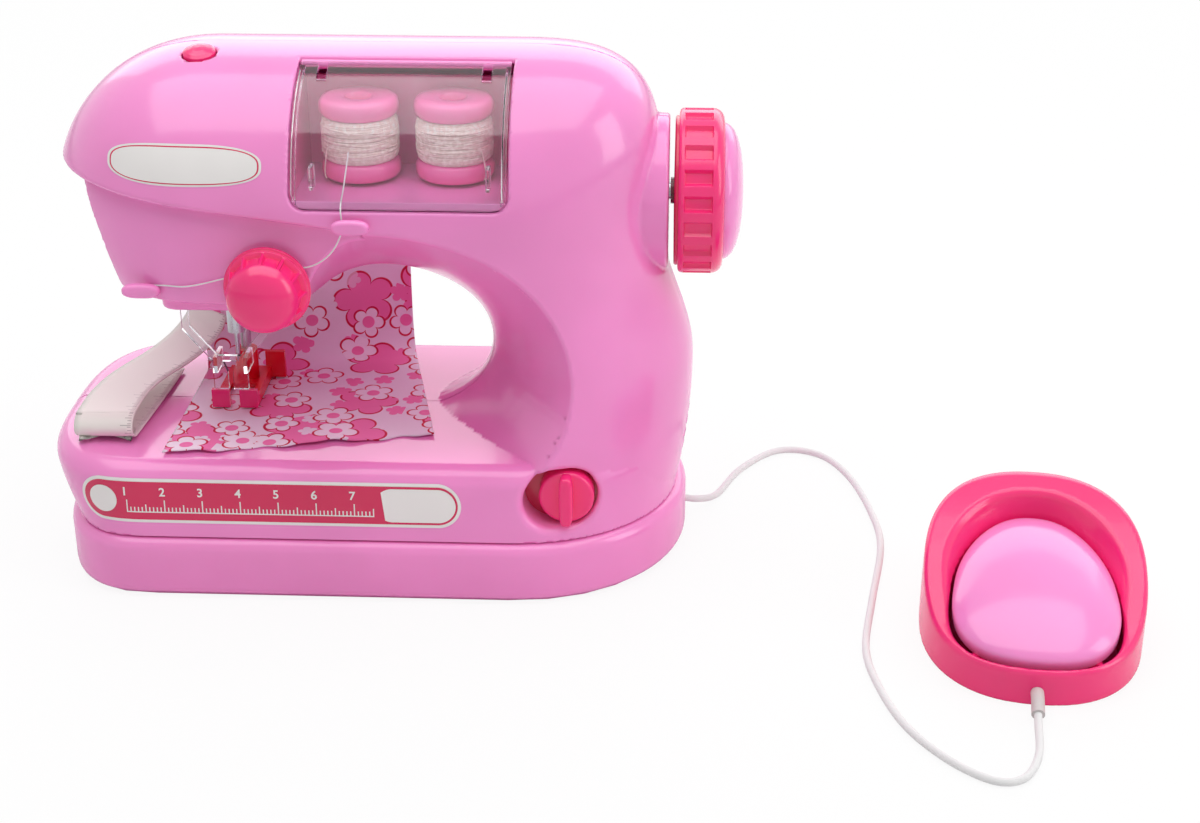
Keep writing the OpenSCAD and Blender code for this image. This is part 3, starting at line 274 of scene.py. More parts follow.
def varied(name, colour, rough, **sockets):
    """A finish whose colour drifts a little and whose gloss is faintly uneven."""
    wire, shader = finish(name, **sockets)
    place = wire.add("TexCoord", out=3)
    drift = wire.add("TexNoise", None, {"Vector": place, "Scale": 22.0, "Detail": 2.0})
    speckle = wire.add("TexNoise", None, {"Vector": place, "Scale": 900.0, "Detail": 3.0})
    feed(drift.fade(0.3, 0.7).blend(shade(colour, 0.96), shade(colour, 1.04)), shader, "Base Color")
    feed(rough - 0.03 + 0.06 * speckle, shader, "Roughness")
    grain = wire.add("Bump", None, {"Strength": 0.04, "Distance": 0.0002, "Height": speckle})
    feed(grain, shader, "Normal")
    return wire, shader


hot_pink, signal_red = srgb(249, 40, 122), srgb(232, 12, 40)
moulded = {"specular_ior_level": 0.5, "coat_weight": 0.2, "coat_roughness": 0.05}
soft_glow = {"subsurface_weight": 0.12, "subsurface_scale": 0.004,
             "subsurface_radius": (1.0, 0.45, 0.7)}
varied("pink_plastic", srgb(247, 143, 208), 0.18, **moulded, **soft_glow)
varied("hot_pink_plastic", hot_pink, 0.2, **moulded, **soft_glow)
varied("reel_plastic", srgb(248, 112, 180), 0.2, **moulded, **soft_glow)
# Deep crimson is printed on the ruler and the label; in the knob's recess and behind the handwheel it is
# painted shade.
varied("deep_red_plastic", srgb(212, 24, 84), 0.22, **moulded)
varied("white_plastic", srgb(236, 233, 231), 0.3, **moulded)
varied("black_plastic", srgb(28, 28, 32), 0.35, **moulded)
varied("steel", srgb(190, 192, 198), 0.24, metallic=1.0)
varied("cell_sleeve", srgb(60, 66, 82), 0.35)
varied("board", srgb(26, 105, 60), 0.45)
varied("lamp", srgb(250, 247, 230), 0.15, emission_color=srgb(255, 246, 220), emission_strength=0.25)
varied("cord", srgb(205, 199, 198), 0.45)
print("finishes:", ", ".join(finishes))

# %% [markdown]
# ## Two toned foot and clear plastic
# The presser foot is hot pink on its front lobes and red behind them. Two meshes would do that too; here
# the place on the foot picks the colour, so it stays one piece. The clear cover and the needle guard are
# polished, with a slight haze that keeps them from looking like thin air.

# %% Foot and clear finishes
foot_pink_y, foot_red_y = -7, -5
wire, shader = varied("foot_plastic", hot_pink, 0.2, **moulded)
depth = wire.add("TexCoord", out=3).split()[1]
feed(depth.fade(foot_pink_y * MM, foot_red_y * MM).blend(hot_pink, signal_red), shader, "Base Color")
wire, shader = finish("clear_plastic", base_color=srgb(252, 250, 254), ior=1.46, transmission_weight=1.0)
haze = wire.add("TexNoise", None, {"Vector": wire.add("TexCoord", out=3), "Scale": 60.0})
feed(0.02 + 0.04 * haze, shader, "Roughness")
print("foot and clear finishes ready")

# %% [markdown]
# ## Thread and cloth
# The thread is a soft cream fibre. The cloth carries five petal flowers. A picture texture would be the
# usual way to print it, but this lesson uses none: each Voronoi cell has its own centre, so the angle about
# that centre makes the petals, and the cell's random colour turns and sizes the flower. Three layers of
# different cell size overlap.

# %% Thread and cloth finishes
wire, shader = finish("thread", roughness=0.7, specular_ior_level=0.3)
object_place = wire.add("TexCoord", out=3)
fibre = wire.add("TexNoise", None, {"Vector": object_place, "Scale": 700.0, "Detail": 2.0})
feed(fibre.fade(0.3, 0.75).blend(srgb(232, 214, 204), srgb(252, 243, 234)), shader, "Base Color")
pattern_unit, petals, full_turn, petal_waist = 100, 5, 6.28, 0.56


def flowers(place, size, spread):
    """How deep inside a petal each place is, its distance from the centre, and the cell's luck."""
    tree = place.tree
    spot = place.add("VectorMath", {"operation": "SCALE"}, {0: place, "Scale": pattern_unit / size})
    cell = place.add("TexVoronoi", {"voronoi_dimensions": "2D"},
                     {"Vector": spot, "Scale": 1.0, "Randomness": spread}).socket.node
    centre = Wire(tree, cell.outputs["Position"])
    dx, dy, _ = place.add("VectorMath", {"operation": "SUBTRACT"}, {0: spot, 1: centre}).split()
    luck = Wire(tree, cell.outputs["Color"]).split()
    reach = (dx * dx + dy * dy) ** 0.5
    turn = place.math("ARCTAN2", dy, dx) * (petals / 2) + luck[0] * full_turn
    lobes = abs(place.math("COSINE", turn)) ** 0.6
    edge = (petal_waist + (1 - petal_waist) * lobes) * (0.34 + 0.12 * luck[1])
    return (edge - reach) * size, reach * size, luck


wire, shader = finish("cloth", roughness=0.75, specular_ior_level=0.25)
flat_place = wire.add("TexCoord", out=2)
pale, rose, crimson = srgb(243, 228, 243), srgb(246, 128, 186), srgb(206, 22, 70)


def flower_layer(ground, size, spread, empty, fills, line=None, eye=None):
    """Flowers over the ground colour; empty is the share of cells that stay bare."""
    deep, reach, luck = flowers(flat_place, size, spread)
    shown = luck[2].fade(empty, empty + 0.01)
    fill = fills[0] if len(fills) == 1 else luck[1].fade(0.5, 0.52).blend(*fills)
    ground = (deep.fade(-0.1, 0.1) * shown).blend(ground, fill)
    if eye:
        ground = (reach.fade(eye, eye - 0.2) * shown).blend(ground, rose)
    if line:
        ground = (abs(deep).fade(*line) * shown).blend(ground, crimson)
    return ground


colour = flower_layer(pale, 31, 0.5, 0.34, [rose], line=(0.55, 0.35))
colour = flower_layer(colour, 9.5, 0.6, 0.44, [pale, rose])
colour = flower_layer(colour, 17.5, 0.55, 0.3, [srgb(250, 238, 250)], line=(0.5, 0.32), eye=2.4)
feed(colour, shader, "Base Color")
print("thread and cloth finishes ready")

# %% [markdown]
# ## Tape
# A tape measure has fine marks along one edge, longer at every half and whole centimetre. They could be
# small meshes, as on the ruler below, but the tape bends, so here the flat pattern of the strip draws them.

# %% Tape finish
mark_half, mark_start = 0.13, 0.5
wire, shader = finish("tape", roughness=0.5, specular_ior_level=0.35)
along, across, _ = wire.add("TexCoord", out=2).split()
along, across = along * pattern_unit, across * pattern_unit
marks = None
for period, long in ((1.0, 1.8), (5.0, 2.8), (10.0, 4.2)):
    line = abs(along % period - period / 2) < mark_half
    band = line * (across < long) * (across > mark_start)
    marks = band if marks is None else marks.most(band)
feed((marks * 0.55).blend(srgb(238, 234, 228), srgb(120, 112, 116)), shader, "Base Color")
print("tape finish ready")

# %% [markdown]
# ## Dressing the construction model
# Pieces whose solids are already right, such as the gears, screws and cells inside, only need their
# finish. On the few that show, a narrow bevel modifier breaks the sharp edges without touching the frame's
# own mesh, which is less work than modelling them a second time.

# %% Dress the frame's own pieces
frame_finish = {
    "steel": ["shell_screws", "base_screws", "battery_contacts", "drive_shaft", "idler_axle", "motor",
              "needle_bush", "presser_bush", "needle_bar", "needle", "presser_bar", "dial_bush",
              "pedal_pivot", "pedal_screws"],
    "white_plastic": ["shaft_gear", "crank_disc", "gear_frame", "idler_gear", "motor_pinion",
                      "head_frame", "needle_yoke"],
    "black_plastic": ["speaker", "cord_clamp", "slide_switch", "button_switch", "pedal_switch"],
    "hot_pink_plastic": ["pedal_base", "top_button"],
    "foot_plastic": ["presser_foot"],
    # The crimson switch plate and collar cap are painted shade for the dark knob recess and the gap behind
    # the wheel.
    "deep_red_plastic": ["switch_plate", "collar_cap"],
    "clear_plastic": ["needle_guard"],
    "cell_sleeve": ["batteries"],
    "board": ["circuit_board"],
    "lamp": ["led_lamp"],
}
named = {node: slot for slot, nodes in frame_finish.items() for node in nodes}
sharp_angle = math.radians(40)


def ease_edges(piece, width, segments=2):
    """Rounds the sharp edges of a piece with a narrow bevel."""
    bevel = piece.modifiers.new("soft_edges", "BEVEL")
    bevel.width = width * MM
    bevel.segments = segments
    bevel.limit_method = "ANGLE"
    bevel.angle_limit = sharp_angle
    bevel.harden_normals = True


for node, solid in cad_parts.items():
    solid.data.materials.clear()
    solid.data.materials.append(finishes[named.get(node, "pink_plastic")])
seen_edges = {"top_button": 0.4, "presser_foot": 0.5, "needle_guard": 0.25, "collar_cap": 0.4}
for node, width in seen_edges.items():
    ease_edges(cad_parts[node], width, segments=3)
print("dressed", len(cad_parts), "frame pieces")

# %% [markdown]
# ## Mesh helpers
# Most mouldings are either turned shapes or skins over a row of rings. They could be drawn with modifiers
# such as Screw and Skin, but points from numpy can follow the construction model to a tenth of a
# millimetre. Short functions make the rings, join them to a mesh and turn them to their axis.

# %% Mesh helpers


def mesh_piece(name, points, faces, slot, body="machine", nodes=(), crease=sharp_angle, look=None):
    """A mesh that rides on its body and stands for the nodes; look names a finish other than the slot's."""
    mesh = bpy.data.meshes.new(name)
    mesh.from_pydata((np.asarray(points, float) * MM).tolist(), [], [list(map(int, f)) for f in faces])
    mesh.validate()
    mesh.polygons.foreach_set("use_smooth", [True] * len(mesh.polygons))
    mesh.set_sharp_from_angle(angle=crease)
    mesh.materials.append(finishes[look or slot])
    piece = bpy.data.objects.new(name, mesh)
    bpy.context.collection.objects.link(piece)
    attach(piece, body)
    if nodes:
        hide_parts(*nodes)
    return piece


def skin(rings, around=True, along=False, caps=True):
    """Points and faces over a row of rings; along also joins the last ring to the first."""
    rings = np.asarray(rings, float)
    m, n = rings.shape[:2]
    faces = []
    for j in range(m if along else m - 1):
        a, b = j * n, (j + 1) % m * n
        for i in range(n if around else n - 1):
            k = (i + 1) % n
            faces.append((a + i, a + k, b + k, b + i))
    if caps and not along:
        faces.append(range(n - 1, -1, -1))
        faces.append(range((m - 1) * n, m * n))
    return rings.reshape(-1, 3), faces


def joined(*parts):
    """One mesh from several (points, faces) pairs."""
    points, faces, start = [], [], 0
    for p, f in parts:
        points.append(np.asarray(p, float))
        faces += [[i + start for i in face] for face in f]
        start += len(p)
    return np.vstack(points), faces


def full_circle(count):
    return 2 * np.pi * np.arange(count) / count


def turned(profile, around=64):
    """Rings of a turned shape about Z from (radius, height) points; small radii close it."""
    a = full_circle(around)
    return np.array([[[r * math.cos(t), r * math.sin(t), h] for t in a] for r, h in profile])


def to_axis(rings, centre, axis):
    """Turns shapes made about Z onto +X or -Y and moves them to their centre."""
    x, y, z = np.moveaxis(np.asarray(rings, float), -1, 0)
    placed = {"x": (z, x, y), "-y": (x, -z, y)}[axis]
    return np.stack(placed, -1) + np.array(centre, float)


def power(value, exponent):
    """The power of the size with the sign kept, as round outlines need it."""
    return np.sign(value) * np.abs(value) ** exponent


def oval(t, half_w, half_h, n):
    """X and Y round a superellipse: n is 2 for an ellipse and more for squarer ends."""
    return half_w * power(np.cos(t), 2 / n), half_h * power(np.sin(t), 2 / n)


quarter = np.radians(np.linspace(0, 90, 7))
print("mesh helpers ready")

# %% [markdown]
# ## Housing as a field
# The housing flows: a crown that rolls over into the column, an arch that flares to the front, a step
# round the head. Box modelling struggles with that, so the body is written as a field whose value is
# negative inside the plastic. Joining, cutting and rounding then are single expressions.

# %% Field tools


def fillet_join(a, b, r):
    """Both forms together, with the inner corner filled to radius r."""
    return np.maximum(r, np.minimum(a, b)) - np.hypot(np.maximum(r - a, 0), np.maximum(r - b, 0))


def fillet_meet(a, b, r):
    """What both forms share, with the outer edge rounded to radius r."""
    return np.minimum(-r, np.maximum(a, b)) + np.hypot(np.maximum(r + a, 0), np.maximum(r + b, 0))


def cut(form, tool, r=0.0):
    """The form without the tool; r rounds the edge that is left."""
    return fillet_meet(form, -tool, r) if r else np.maximum(form, -tool)


def stretch(reach, k, size):
    """Distance like value of a stretched ball: k is 1 on its surface."""
    tiny = 0.001
    return (reach + tiny) * (1 - 1 / (k + tiny / size))


def beside(x, z, p, q):
    """Distance of (x, z) to the left of the line from p to q."""
    dx, dz = q[0] - p[0], q[1] - p[1]
    return (dx * (z - p[1]) - dz * (x - p[0])) / math.hypot(dx, dz)


def post(x, y, at, r):
    """A round bar of radius r, or the hole for it."""
    return np.hypot(x - at[0], y - at[1]) - r


print("field tools ready")

# %% [markdown]
# ## Arm, column and bed
# The arm is a barrel with a flattened top that ends in a round nose on the left and rolls over into the
# column on the right. The column is widest at the hip and narrower at the waist. The bed is a long
# cushion with blunter corners at its left end. All three are stretched balls with straight middles.

# %% Arm, column and bed
shoulder, crest, arm_half, draft, crown_n = 125.0, 178.0, 51.5, 0.058, 2.2
crown_c, crown_end_n, crest_end_n = 46.0, 2.0, 1.6
nose_c, nose_reach, nose_n = 48.0, 55.6, 2.15
nose_h, nose_tuck, nose_least = 140.0, 60.0, 0.3
hip_x, hip_h, hip_tuck, waist_x, waist_rise = 111.6, 68.0, 5.0, 100.0, 50.0
bed_top, bed_roll, plinth_top, wall = 48.0, 7.0, 22.0, 2.2
bed_left, bed_right, left_n, right_n = -70.0, 50.0, 2.8, 2.1
bed_left_reach, bed_right_reach, bed_tuck, bed_tuck_h = 41.0, 57.0, 7.0, 44.0
shaft_h, collar_r, collar_x, collar_root = 128.0, 26.0, 102.4, 70.0


def side_half(z):
    """Half the depth at a height: the mould's draft widens it downwards."""
    return arm_half + draft * (shoulder - z)


def body_right(z):
    """X of the right side, widest at the hip."""
    low = hip_x - hip_tuck * (np.maximum(0, hip_h - z) / (hip_h - plinth_top)) ** 2
    climb = np.pi * np.clip(z - hip_h, 0, waist_rise) / waist_rise
    waist = waist_x + (hip_x - waist_x) * (1 + np.cos(climb)) / 2
    return np.where(z <= hip_h, low, waist)


def arm_and_column(x, y, z):
    half = np.where(z < shoulder, side_half(z), arm_half)
    rise = np.maximum(0, z - shoulder)
    v = (np.abs(y) / half) ** crown_n
    w = (rise / (crest - shoulder)) ** crown_n
    s = (v + w) ** (1 / crown_n)
    right = np.maximum(0, x - crown_c)
    left = np.maximum(0, -nose_c - x)
    p = crown_end_n + crest_end_n * w / (v + w + 1e-9)
    reach_right = body_right(z) - crown_c
    k_right = ((right / reach_right) ** p + s**p) ** (1 / p)
    low = np.sqrt(np.maximum(nose_least, 1 - (np.maximum(0, nose_h - z) / nose_tuck) ** 2))
    k_left = ((left / (nose_reach * low)) ** nose_n + s**nose_n) ** (1 / nose_n)
    k = np.where(x > crown_c, k_right, np.where(x < -nose_c, k_left, s))
    return stretch(np.sqrt((right + left) ** 2 + y**2 + rise**2), k, half)


def bed(x, y, z):
    past_left, past_right = np.maximum(0, bed_left - x), np.maximum(0, x - bed_right)
    tuck = bed_tuck * (np.maximum(0, bed_tuck_h - z) / (bed_tuck_h - plinth_top)) ** 1.5
    half = side_half(z)
    n = np.where(x < 0, left_n, right_n)
    ends = past_left / (bed_left_reach - tuck) + past_right / bed_right_reach
    k = (ends**n + (np.abs(y) / half) ** n) ** (1 / n)
    plan = stretch(np.hypot(past_left + past_right, y), k, half)
    return fillet_meet(plan, z - bed_top, bed_roll)


print("arm, column and bed: crest at", crest, "bed at", bed_top)

# %% [markdown]
# ## Throat, nozzle and step
# The throat is the space under the arm where the work lies. It is an oval tunnel that flares to front and
# back, with a flat cut under the arm and the head. The nozzle is two boxes below the head, and a shallow
# step runs round the head's face. Each is a few lines on the field, where a Boolean on meshes would leave
# ragged edges to clean up.

# %% Throat, nozzle and step
arch_x, arch_y, arch_h, arch_right, arch_left, arch_tall = 5.0, 5.0, 72.0, 36.0, 32.0, 27.0
flare_depth, flare_most, flare_rise = 55.0, 1.25, 6.0
flare_right, flare_left, flare_tall = 31.0, 8.0, 23.0
arm_cut_x, arm_cut_h, arm_slope, arm_slope_scale, arm_cut_top = 11.0, 72.0, 0.368, 0.938, 86.0
head_cut_x, head_h, head_slope, head_slope_x, throat_low = -17.0, 103.0, 0.0177, -27.0, 38.0
nozzles = [(-66, -27, -36, 26, 96), (-58.5, -28, -11, 21, 87)]
nozzle_r, nozzle_edge, nozzle_top = 6.0, 0.8, 112.0
step_x, step_h, step_slope, step_scale, step_depth = 5.0, 129.0, 0.1294, 0.992, 4.0
face_line = [(-93, 146), (-76, 99), (-58, 40)]


def throat(x, y, z):
    t = np.minimum(np.abs(y - arch_y) / flare_depth, flare_most)
    flare = t**1.5
    dx, dz = x - arch_x, z - arch_h - flare_rise * t
    wide = np.where(dx > 0, arch_right + flare_right * flare, arch_left - flare_left * np.minimum(1, t))
    tall = arch_tall + flare_tall * flare
    arch = stretch(np.hypot(dx, dz), np.hypot(dx / wide, dz / tall), wide)
    slanted = arm_slope_scale * (z - arm_cut_h - arm_slope * (arm_cut_x - x))
    under_arm = np.maximum(np.maximum(x - arm_cut_x, slanted), z - arm_cut_top)
    under_head = np.maximum(x - head_cut_x, z - head_h + head_slope * (x - head_slope_x))
    return np.maximum(np.minimum(np.minimum(arch, under_arm), under_head), throat_low - z)


def nozzle_box(x, y, z, x0, x1, y0, y1, z0):
    qx = np.abs(x - (x0 + x1) / 2) - (x1 - x0) / 2 + nozzle_r
    qy = np.abs(y - (y0 + y1) / 2) - (y1 - y0) / 2 + nozzle_r
    side = np.hypot(np.maximum(qx, 0), np.maximum(qy, 0)) + np.minimum(np.maximum(qx, qy), 0) - nozzle_r
    return np.maximum(fillet_meet(side, z0 - z, nozzle_edge), z - nozzle_top)


def head_step(x, z, upper):
    """What stays of the head: all above the step or right of it, and below it a core sunk by its depth."""
    above = step_scale * (step_h - step_slope * (x - step_x) - z)
    left_edge = np.minimum(beside(x, z, *face_line[:2]), beside(x, z, *face_line[1:]))
    core = np.maximum(upper + step_depth, -left_edge)
    return np.minimum(fillet_join(above, core, 0.7), step_x - x)


def housing(x, y, z):
    """The whole outer form before anything is cut into it."""
    upper = arm_and_column(x, y, z)
    upper = fillet_meet(upper, head_step(x, z, upper), 1.5)
    upper = cut(upper, throat(x, y, z), 1.1)
    collar = fillet_meet(post(y, z, (0, shaft_h), collar_r), x - collar_x, 1.2)
    body = np.minimum(upper, bed(x, y, z))
    body = fillet_join(body, np.maximum(collar, collar_root - x), 0.8)
    for box in nozzles:
        body = np.minimum(body, nozzle_box(x, y, z, *box))
    return np.maximum(body, plinth_top - z)


print("housing field ready with", len(nozzles), "nozzle steps")

# %% [markdown]
# ## Openings in the housing
# The window for the spools, the recess of the power knob, the sound slots and the holes for dial,
# button, needle and screws are cut from that field, each with its own edge rounding. The knob's recess
# has a wide soft lip, so it gets the largest radius.

# %% Openings
well_x0, well_x1, well_h, well_r, well_back, well_lip = 65.8, 69.8, 36.9, 10.3, -30.0, 2.4
window = {"x0": -17.5, "x1": 52.0, "z0": 136.3, "back": -14.2, "corner": 5.0, "edge": 0.7}
dial_at, dial_hole_r, dial_hole_back = (-26.0, 110.0), 4.95, -40.0
needle_x, presser_y = -49.3, 13.0
under_holes = [((needle_x, 0), 5.3), ((needle_x, presser_y), 4.3), ((-42.0, -19.0), 2.8)]
under_hole_top = 108.0
button_at, button_tilt = np.array([-51.0, -12.0, 176.21]), math.radians(14)
button_hole_r, button_hole_low = 5.7, 150.0
slots_each_side, slot_h, slot_pitch, slot_x = 2, 42.0, 4.6, 90.0
slot_r, slot_half, slot_taper = 1.1, 9.0, 1.6
screw_posts = [(-84, 35), (18, 35), (90, 58), (-80, 150), (-29, 163), (78, 160)]
screw_hole_r, screw_post_r, screw_hole_front = 3.2, 4.2, 12.0


def well(x, z, r):
    """The knob's recess, long enough for its slide."""
    return np.hypot(x - np.clip(x, well_x0, well_x1), z - well_h) - r


def moulding(x, y, z, body):
    """The outer form with its openings."""
    gap = fillet_meet(np.maximum(window["x0"] - x, x - window["x1"]), window["z0"] - z, window["corner"])
    out = cut(body, np.maximum(gap, y - window["back"]), window["edge"])
    out = cut(out, np.maximum(well(x, z, well_r), y - well_back), well_lip)
    out = cut(out, np.maximum(post(x, z, dial_at, dial_hole_r), y - dial_hole_back), 0.4)
    for at, r in under_holes:
        out = cut(out, np.maximum(post(x, y, at, r), z - under_hole_top))
    across = math.cos(button_tilt) * (y - button_at[1]) + math.sin(button_tilt) * (z - button_at[2])
    button_hole = post(x, across, (button_at[0], 0), button_hole_r)
    out = cut(out, np.maximum(button_hole, button_hole_low - z), 0.5)
    for i in range(-slots_each_side, slots_each_side + 1):
        reach = slot_half - abs(i) * slot_taper
        slot = np.hypot(y - np.clip(y, -reach, reach), z - slot_h - slot_pitch * i) - slot_r
        out = cut(out, np.maximum(slot, slot_x - x), 0.3)
    for at in screw_posts:
        out = cut(out, np.maximum(post(x, z, at, screw_hole_r), screw_hole_front - y))
    return out


print("openings ready with", len(screw_posts), "screw holes")

# %% [markdown]
# ## From field to mesh
# A grid samples the field, and surface nets put one vertex in every cell that the skin passes. Blender's
# own remesh could do this from a volume, but it rounds small edges off. The vertices here slide along the
# field's slope onto the true surface, and the slope itself becomes their normal, so highlights run smoothly
# over the crown.

# %% Field to mesh


def surface_nets(field, origin, step):
    """Points and quads of the skin between negative and positive grid values."""
    inside = field < 0
    shape = np.array(field.shape) - 1

    def corner(array, o):
        return array[o[0]:o[0] + shape[0], o[1]:o[1] + shape[1], o[2]:o[2] + shape[2]]

    offsets = [(i, j, k) for i in (0, 1) for j in (0, 1) for k in (0, 1)]
    count = sum(corner(inside, o).astype(np.int8) for o in offsets)
    cells = np.argwhere((count > 0) & (count < len(offsets)))
    number = np.full(shape, -1, np.int64)
    number[tuple(cells.T)] = np.arange(len(cells))
    total = np.zeros((len(cells), 3))
    hits = np.zeros(len(cells))
    for a in offsets:
        for axis in range(3):
            if a[axis]:
                continue
            b = tuple(v + (i == axis) for i, v in enumerate(a))
            fa = field[tuple((cells + a).T)]
            fb = field[tuple((cells + b).T)]
            cross = (fa < 0) != (fb < 0)
            t = np.where(cross, fa / np.where(cross, fa - fb, 1), 0)
            place = np.tile(np.array(a, float), (len(cells), 1))
            place[:, axis] += t
            total += place * cross[:, None]
            hits += cross
    points = origin + step * (cells + total / hits[:, None])
    faces = []
    for axis in range(3):
        u, v = [(1, 2), (2, 0), (0, 1)][axis]
        low = [slice(None)] * 3
        high = [slice(None)] * 3
        low[axis], high[axis] = slice(0, -1), slice(1, None)
        change = inside[tuple(low)] != inside[tuple(high)]
        at = np.argwhere(change)
        keep = (at[:, u] > 0) & (at[:, v] > 0) & (at[:, u] < shape[u]) & (at[:, v] < shape[v])
        at = at[keep]
        du, dv = np.eye(3, dtype=int)[u], np.eye(3, dtype=int)[v]
        quad = np.stack([number[tuple((at - o).T)] for o in (0 * du, du, du + dv, dv)], 1)
        flip = ~inside[tuple(at.T)]
        quad[flip] = quad[flip, ::-1]
        faces.append(quad)
    return points, np.vstack(faces)


def slope(function, p, step=0.05):
    """The field's slope at each point, from a small step either way."""
    grad = np.empty_like(p)
    for axis in range(3):
        d = np.zeros(3)
        d[axis] = step
        grad[:, axis] = (function(p + d) - function(p - d)) / (2 * step)
    return grad


def grid(low, high, step):
    """X, Y and Z of every grid point from low up to high."""
    counts = np.ceil((np.array(high) - np.array(low)) / step).astype(int)
    return np.meshgrid(*[start + step * np.arange(n) for start, n in zip(low, counts)], indexing="ij")


near_skin, slides, longest_slide, least_slope, tiny_length = 0.8, 3, 0.5, 0.05, 1e-9


def field_piece(name, field, origin, step, value, slot, node, place=None):
    """Meshes a field and slides the skin onto the exact surface where value(points) is nought."""
    points, faces = surface_nets(field, np.array(origin), step)
    on_skin = np.abs(value(points)) < near_skin * step
    moved = points[on_skin]
    for _ in range(slides):
        grad = slope(value, moved)
        size = np.maximum((grad**2).sum(1), least_slope)
        shift = grad * (value(moved) / size)[:, None]
        length = np.linalg.norm(shift, axis=1)[:, None]
        moved = moved - shift * np.minimum(1, longest_slide * step / np.maximum(length, tiny_length))
    points[on_skin] = moved
    grad = slope(value, moved)
    grad = grad / np.maximum(np.linalg.norm(grad, axis=1), tiny_length)[:, None]
    if place:
        ends = np.stack(place(*(moved + grad).T), 1)
        grad = ends - np.stack(place(*moved.T), 1)
        points = np.stack(place(*points.T), 1)
    piece = mesh_piece(name, points, faces, slot, nodes=[node], crease=math.pi)
    normals = np.array([v.normal for v in piece.data.vertices])
    normals[on_skin] = grad
    piece.data.normals_split_custom_set_from_vertices(normals.tolist())
    print(name, len(points), "points")


print("field to mesh ready")

# %% [markdown]
# ## Housing halves
# The real housing is two moulded halves that meet in a seam along the middle, held by screws in posts from
# behind. The field is made hollow, with the wall of a usual moulding, and meshed once for each half, so that
# the seam is a real gap and not a drawn line.

# %% Housing halves


def outer_value(p):
    x, y, z = p.T
    return moulding(x, y, z, housing(x, y, z))


grid_step = 1.1
grid_low, grid_high = (-114.3, -60.5, 19.3), (114.5, 60.5, 181.0)
well_wall, well_wall_back, seam = 1.8, -45.0, 0.05
gx, gy, gz = grid(grid_low, grid_high, grid_step)
body_field = housing(gx, gy, gz)
steep = np.sqrt(sum(g**2 for g in np.gradient(body_field, grid_step)))
hollow = body_field / np.clip(steep, 0.4, 1.6) + wall
hollow = cut(hollow, np.maximum(well(gx, gz, well_r + well_wall), gy - well_wall_back))
for at in screw_posts:
    hollow = cut(hollow, post(gx, gz, at, screw_post_r))
shell_field = cut(moulding(gx, gy, gz, body_field), hollow)
halves = {"front": gy + seam, "rear": seam - gy}
for half_name, side in halves.items():
    field_piece("housing_" + half_name, np.maximum(shell_field, side), grid_low, grid_step, outer_value,
                "pink_plastic", half_name + "_shell")
del gx, gy, gz, body_field, steep, hollow, shell_field, halves, side

# %% [markdown]
# ## Plinth band
# The plinth is a separate band under the bed with round upper and lower edges. A bevelled extrusion would
# come close, but its corners have to match the bed's. So it is a skin over rings: the outline grows and
# shrinks along a quarter circle at both edges, then returns inside.

# %% Plinth
plinth_half, plinth_left_reach, plinth_right_reach = 60.0, 37.0, 60.0
plinth_low, plinth_high, plinth_roll, plinth_wall = 0.6, 21.8, 4.0, 6.4


def plinth_ring(z, inset, count=40):
    t = np.radians(np.linspace(-90, 90, count))
    half = plinth_half - inset
    right_x, right_y = oval(t, plinth_right_reach - inset, half, right_n)
    left_x, left_y = oval(t, plinth_left_reach - inset, half, left_n)
    x = np.concatenate([bed_right + right_x, bed_left - left_x])
    return np.stack([x, np.concatenate([right_y, -left_y]), np.full_like(x, z)], 1)


drawn_in = [(plinth_roll * (1 - math.cos(a)), plinth_roll * (1 - math.sin(a))) for a in quarter]
plinth_profile = [(plinth_low + up, inset) for up, inset in drawn_in]
plinth_profile += [(plinth_high - down, inset) for inset, down in drawn_in]
plinth_profile += [(z, plinth_wall) for z in (plinth_high, 18.0, 4.0, plinth_low)]
mesh_piece("plinth", *skin([plinth_ring(z, inset) for z, inset in plinth_profile], along=True),
           "pink_plastic", nodes=["base_skirt"])
print("plinth with", len(plinth_profile), "rings")

# %% [markdown]
# ## Handwheel and tension dial
# Both are turned shapes with moulded grip pockets. Cutting each pocket with a Boolean would be slow, so a
# third number on each profile point says how far the pocket cuts in at that height, and one function turns
# the profile and presses the pockets into it.

# %% Handwheel and dial


def pocketed(profile, count, duty, depth, per=16, ramp=0.07):
    """Rings of a turned shape with pockets; duty is the share of each pitch that the pocket takes."""
    t = full_circle(count * per)
    off = np.abs((t * count / (2 * np.pi)) % 1 - 0.5)
    mask = np.clip((duty / 2 - off) / ramp + 0.5, 0, 1)
    rings = []
    for r, h, pocket in profile:
        radius = r - depth * pocket * mask
        rings.append(np.stack([radius * np.cos(t), radius * np.sin(t), np.full_like(t, h)], 1))
    return np.array(rings)


wheel_at = (105.5, 0, shaft_h)
wheel_profile = [(3.05, 0, 0), (20, 0, 0), (26, 0, 0), (27.1, 0.3, 0), (27.6, 1.0, 0), (27.7, 1.9, 0),
                 (27.7, 2.2, 1), (27.7, 11.0, 1), (27.7, 11.3, 0), (27.6, 12.2, 0), (27.1, 13.4, 0),
                 (26.2, 14.4, 0), (25.0, 15.0, 0), (23.8, 15.2, 0), (23.2, 14.9, 0), (23.1, 13.4, 0),
                 (3.05, 13.4, 0)]
wheel_rings = to_axis(pocketed(wheel_profile, 20, 0.52, 1.5), wheel_at, "x")
wheel = mesh_piece("wheel_rim", *skin(wheel_rings, along=True), "hot_pink_plastic", "wheel", ["handwheel"])
ease_edges(wheel, 0.18)
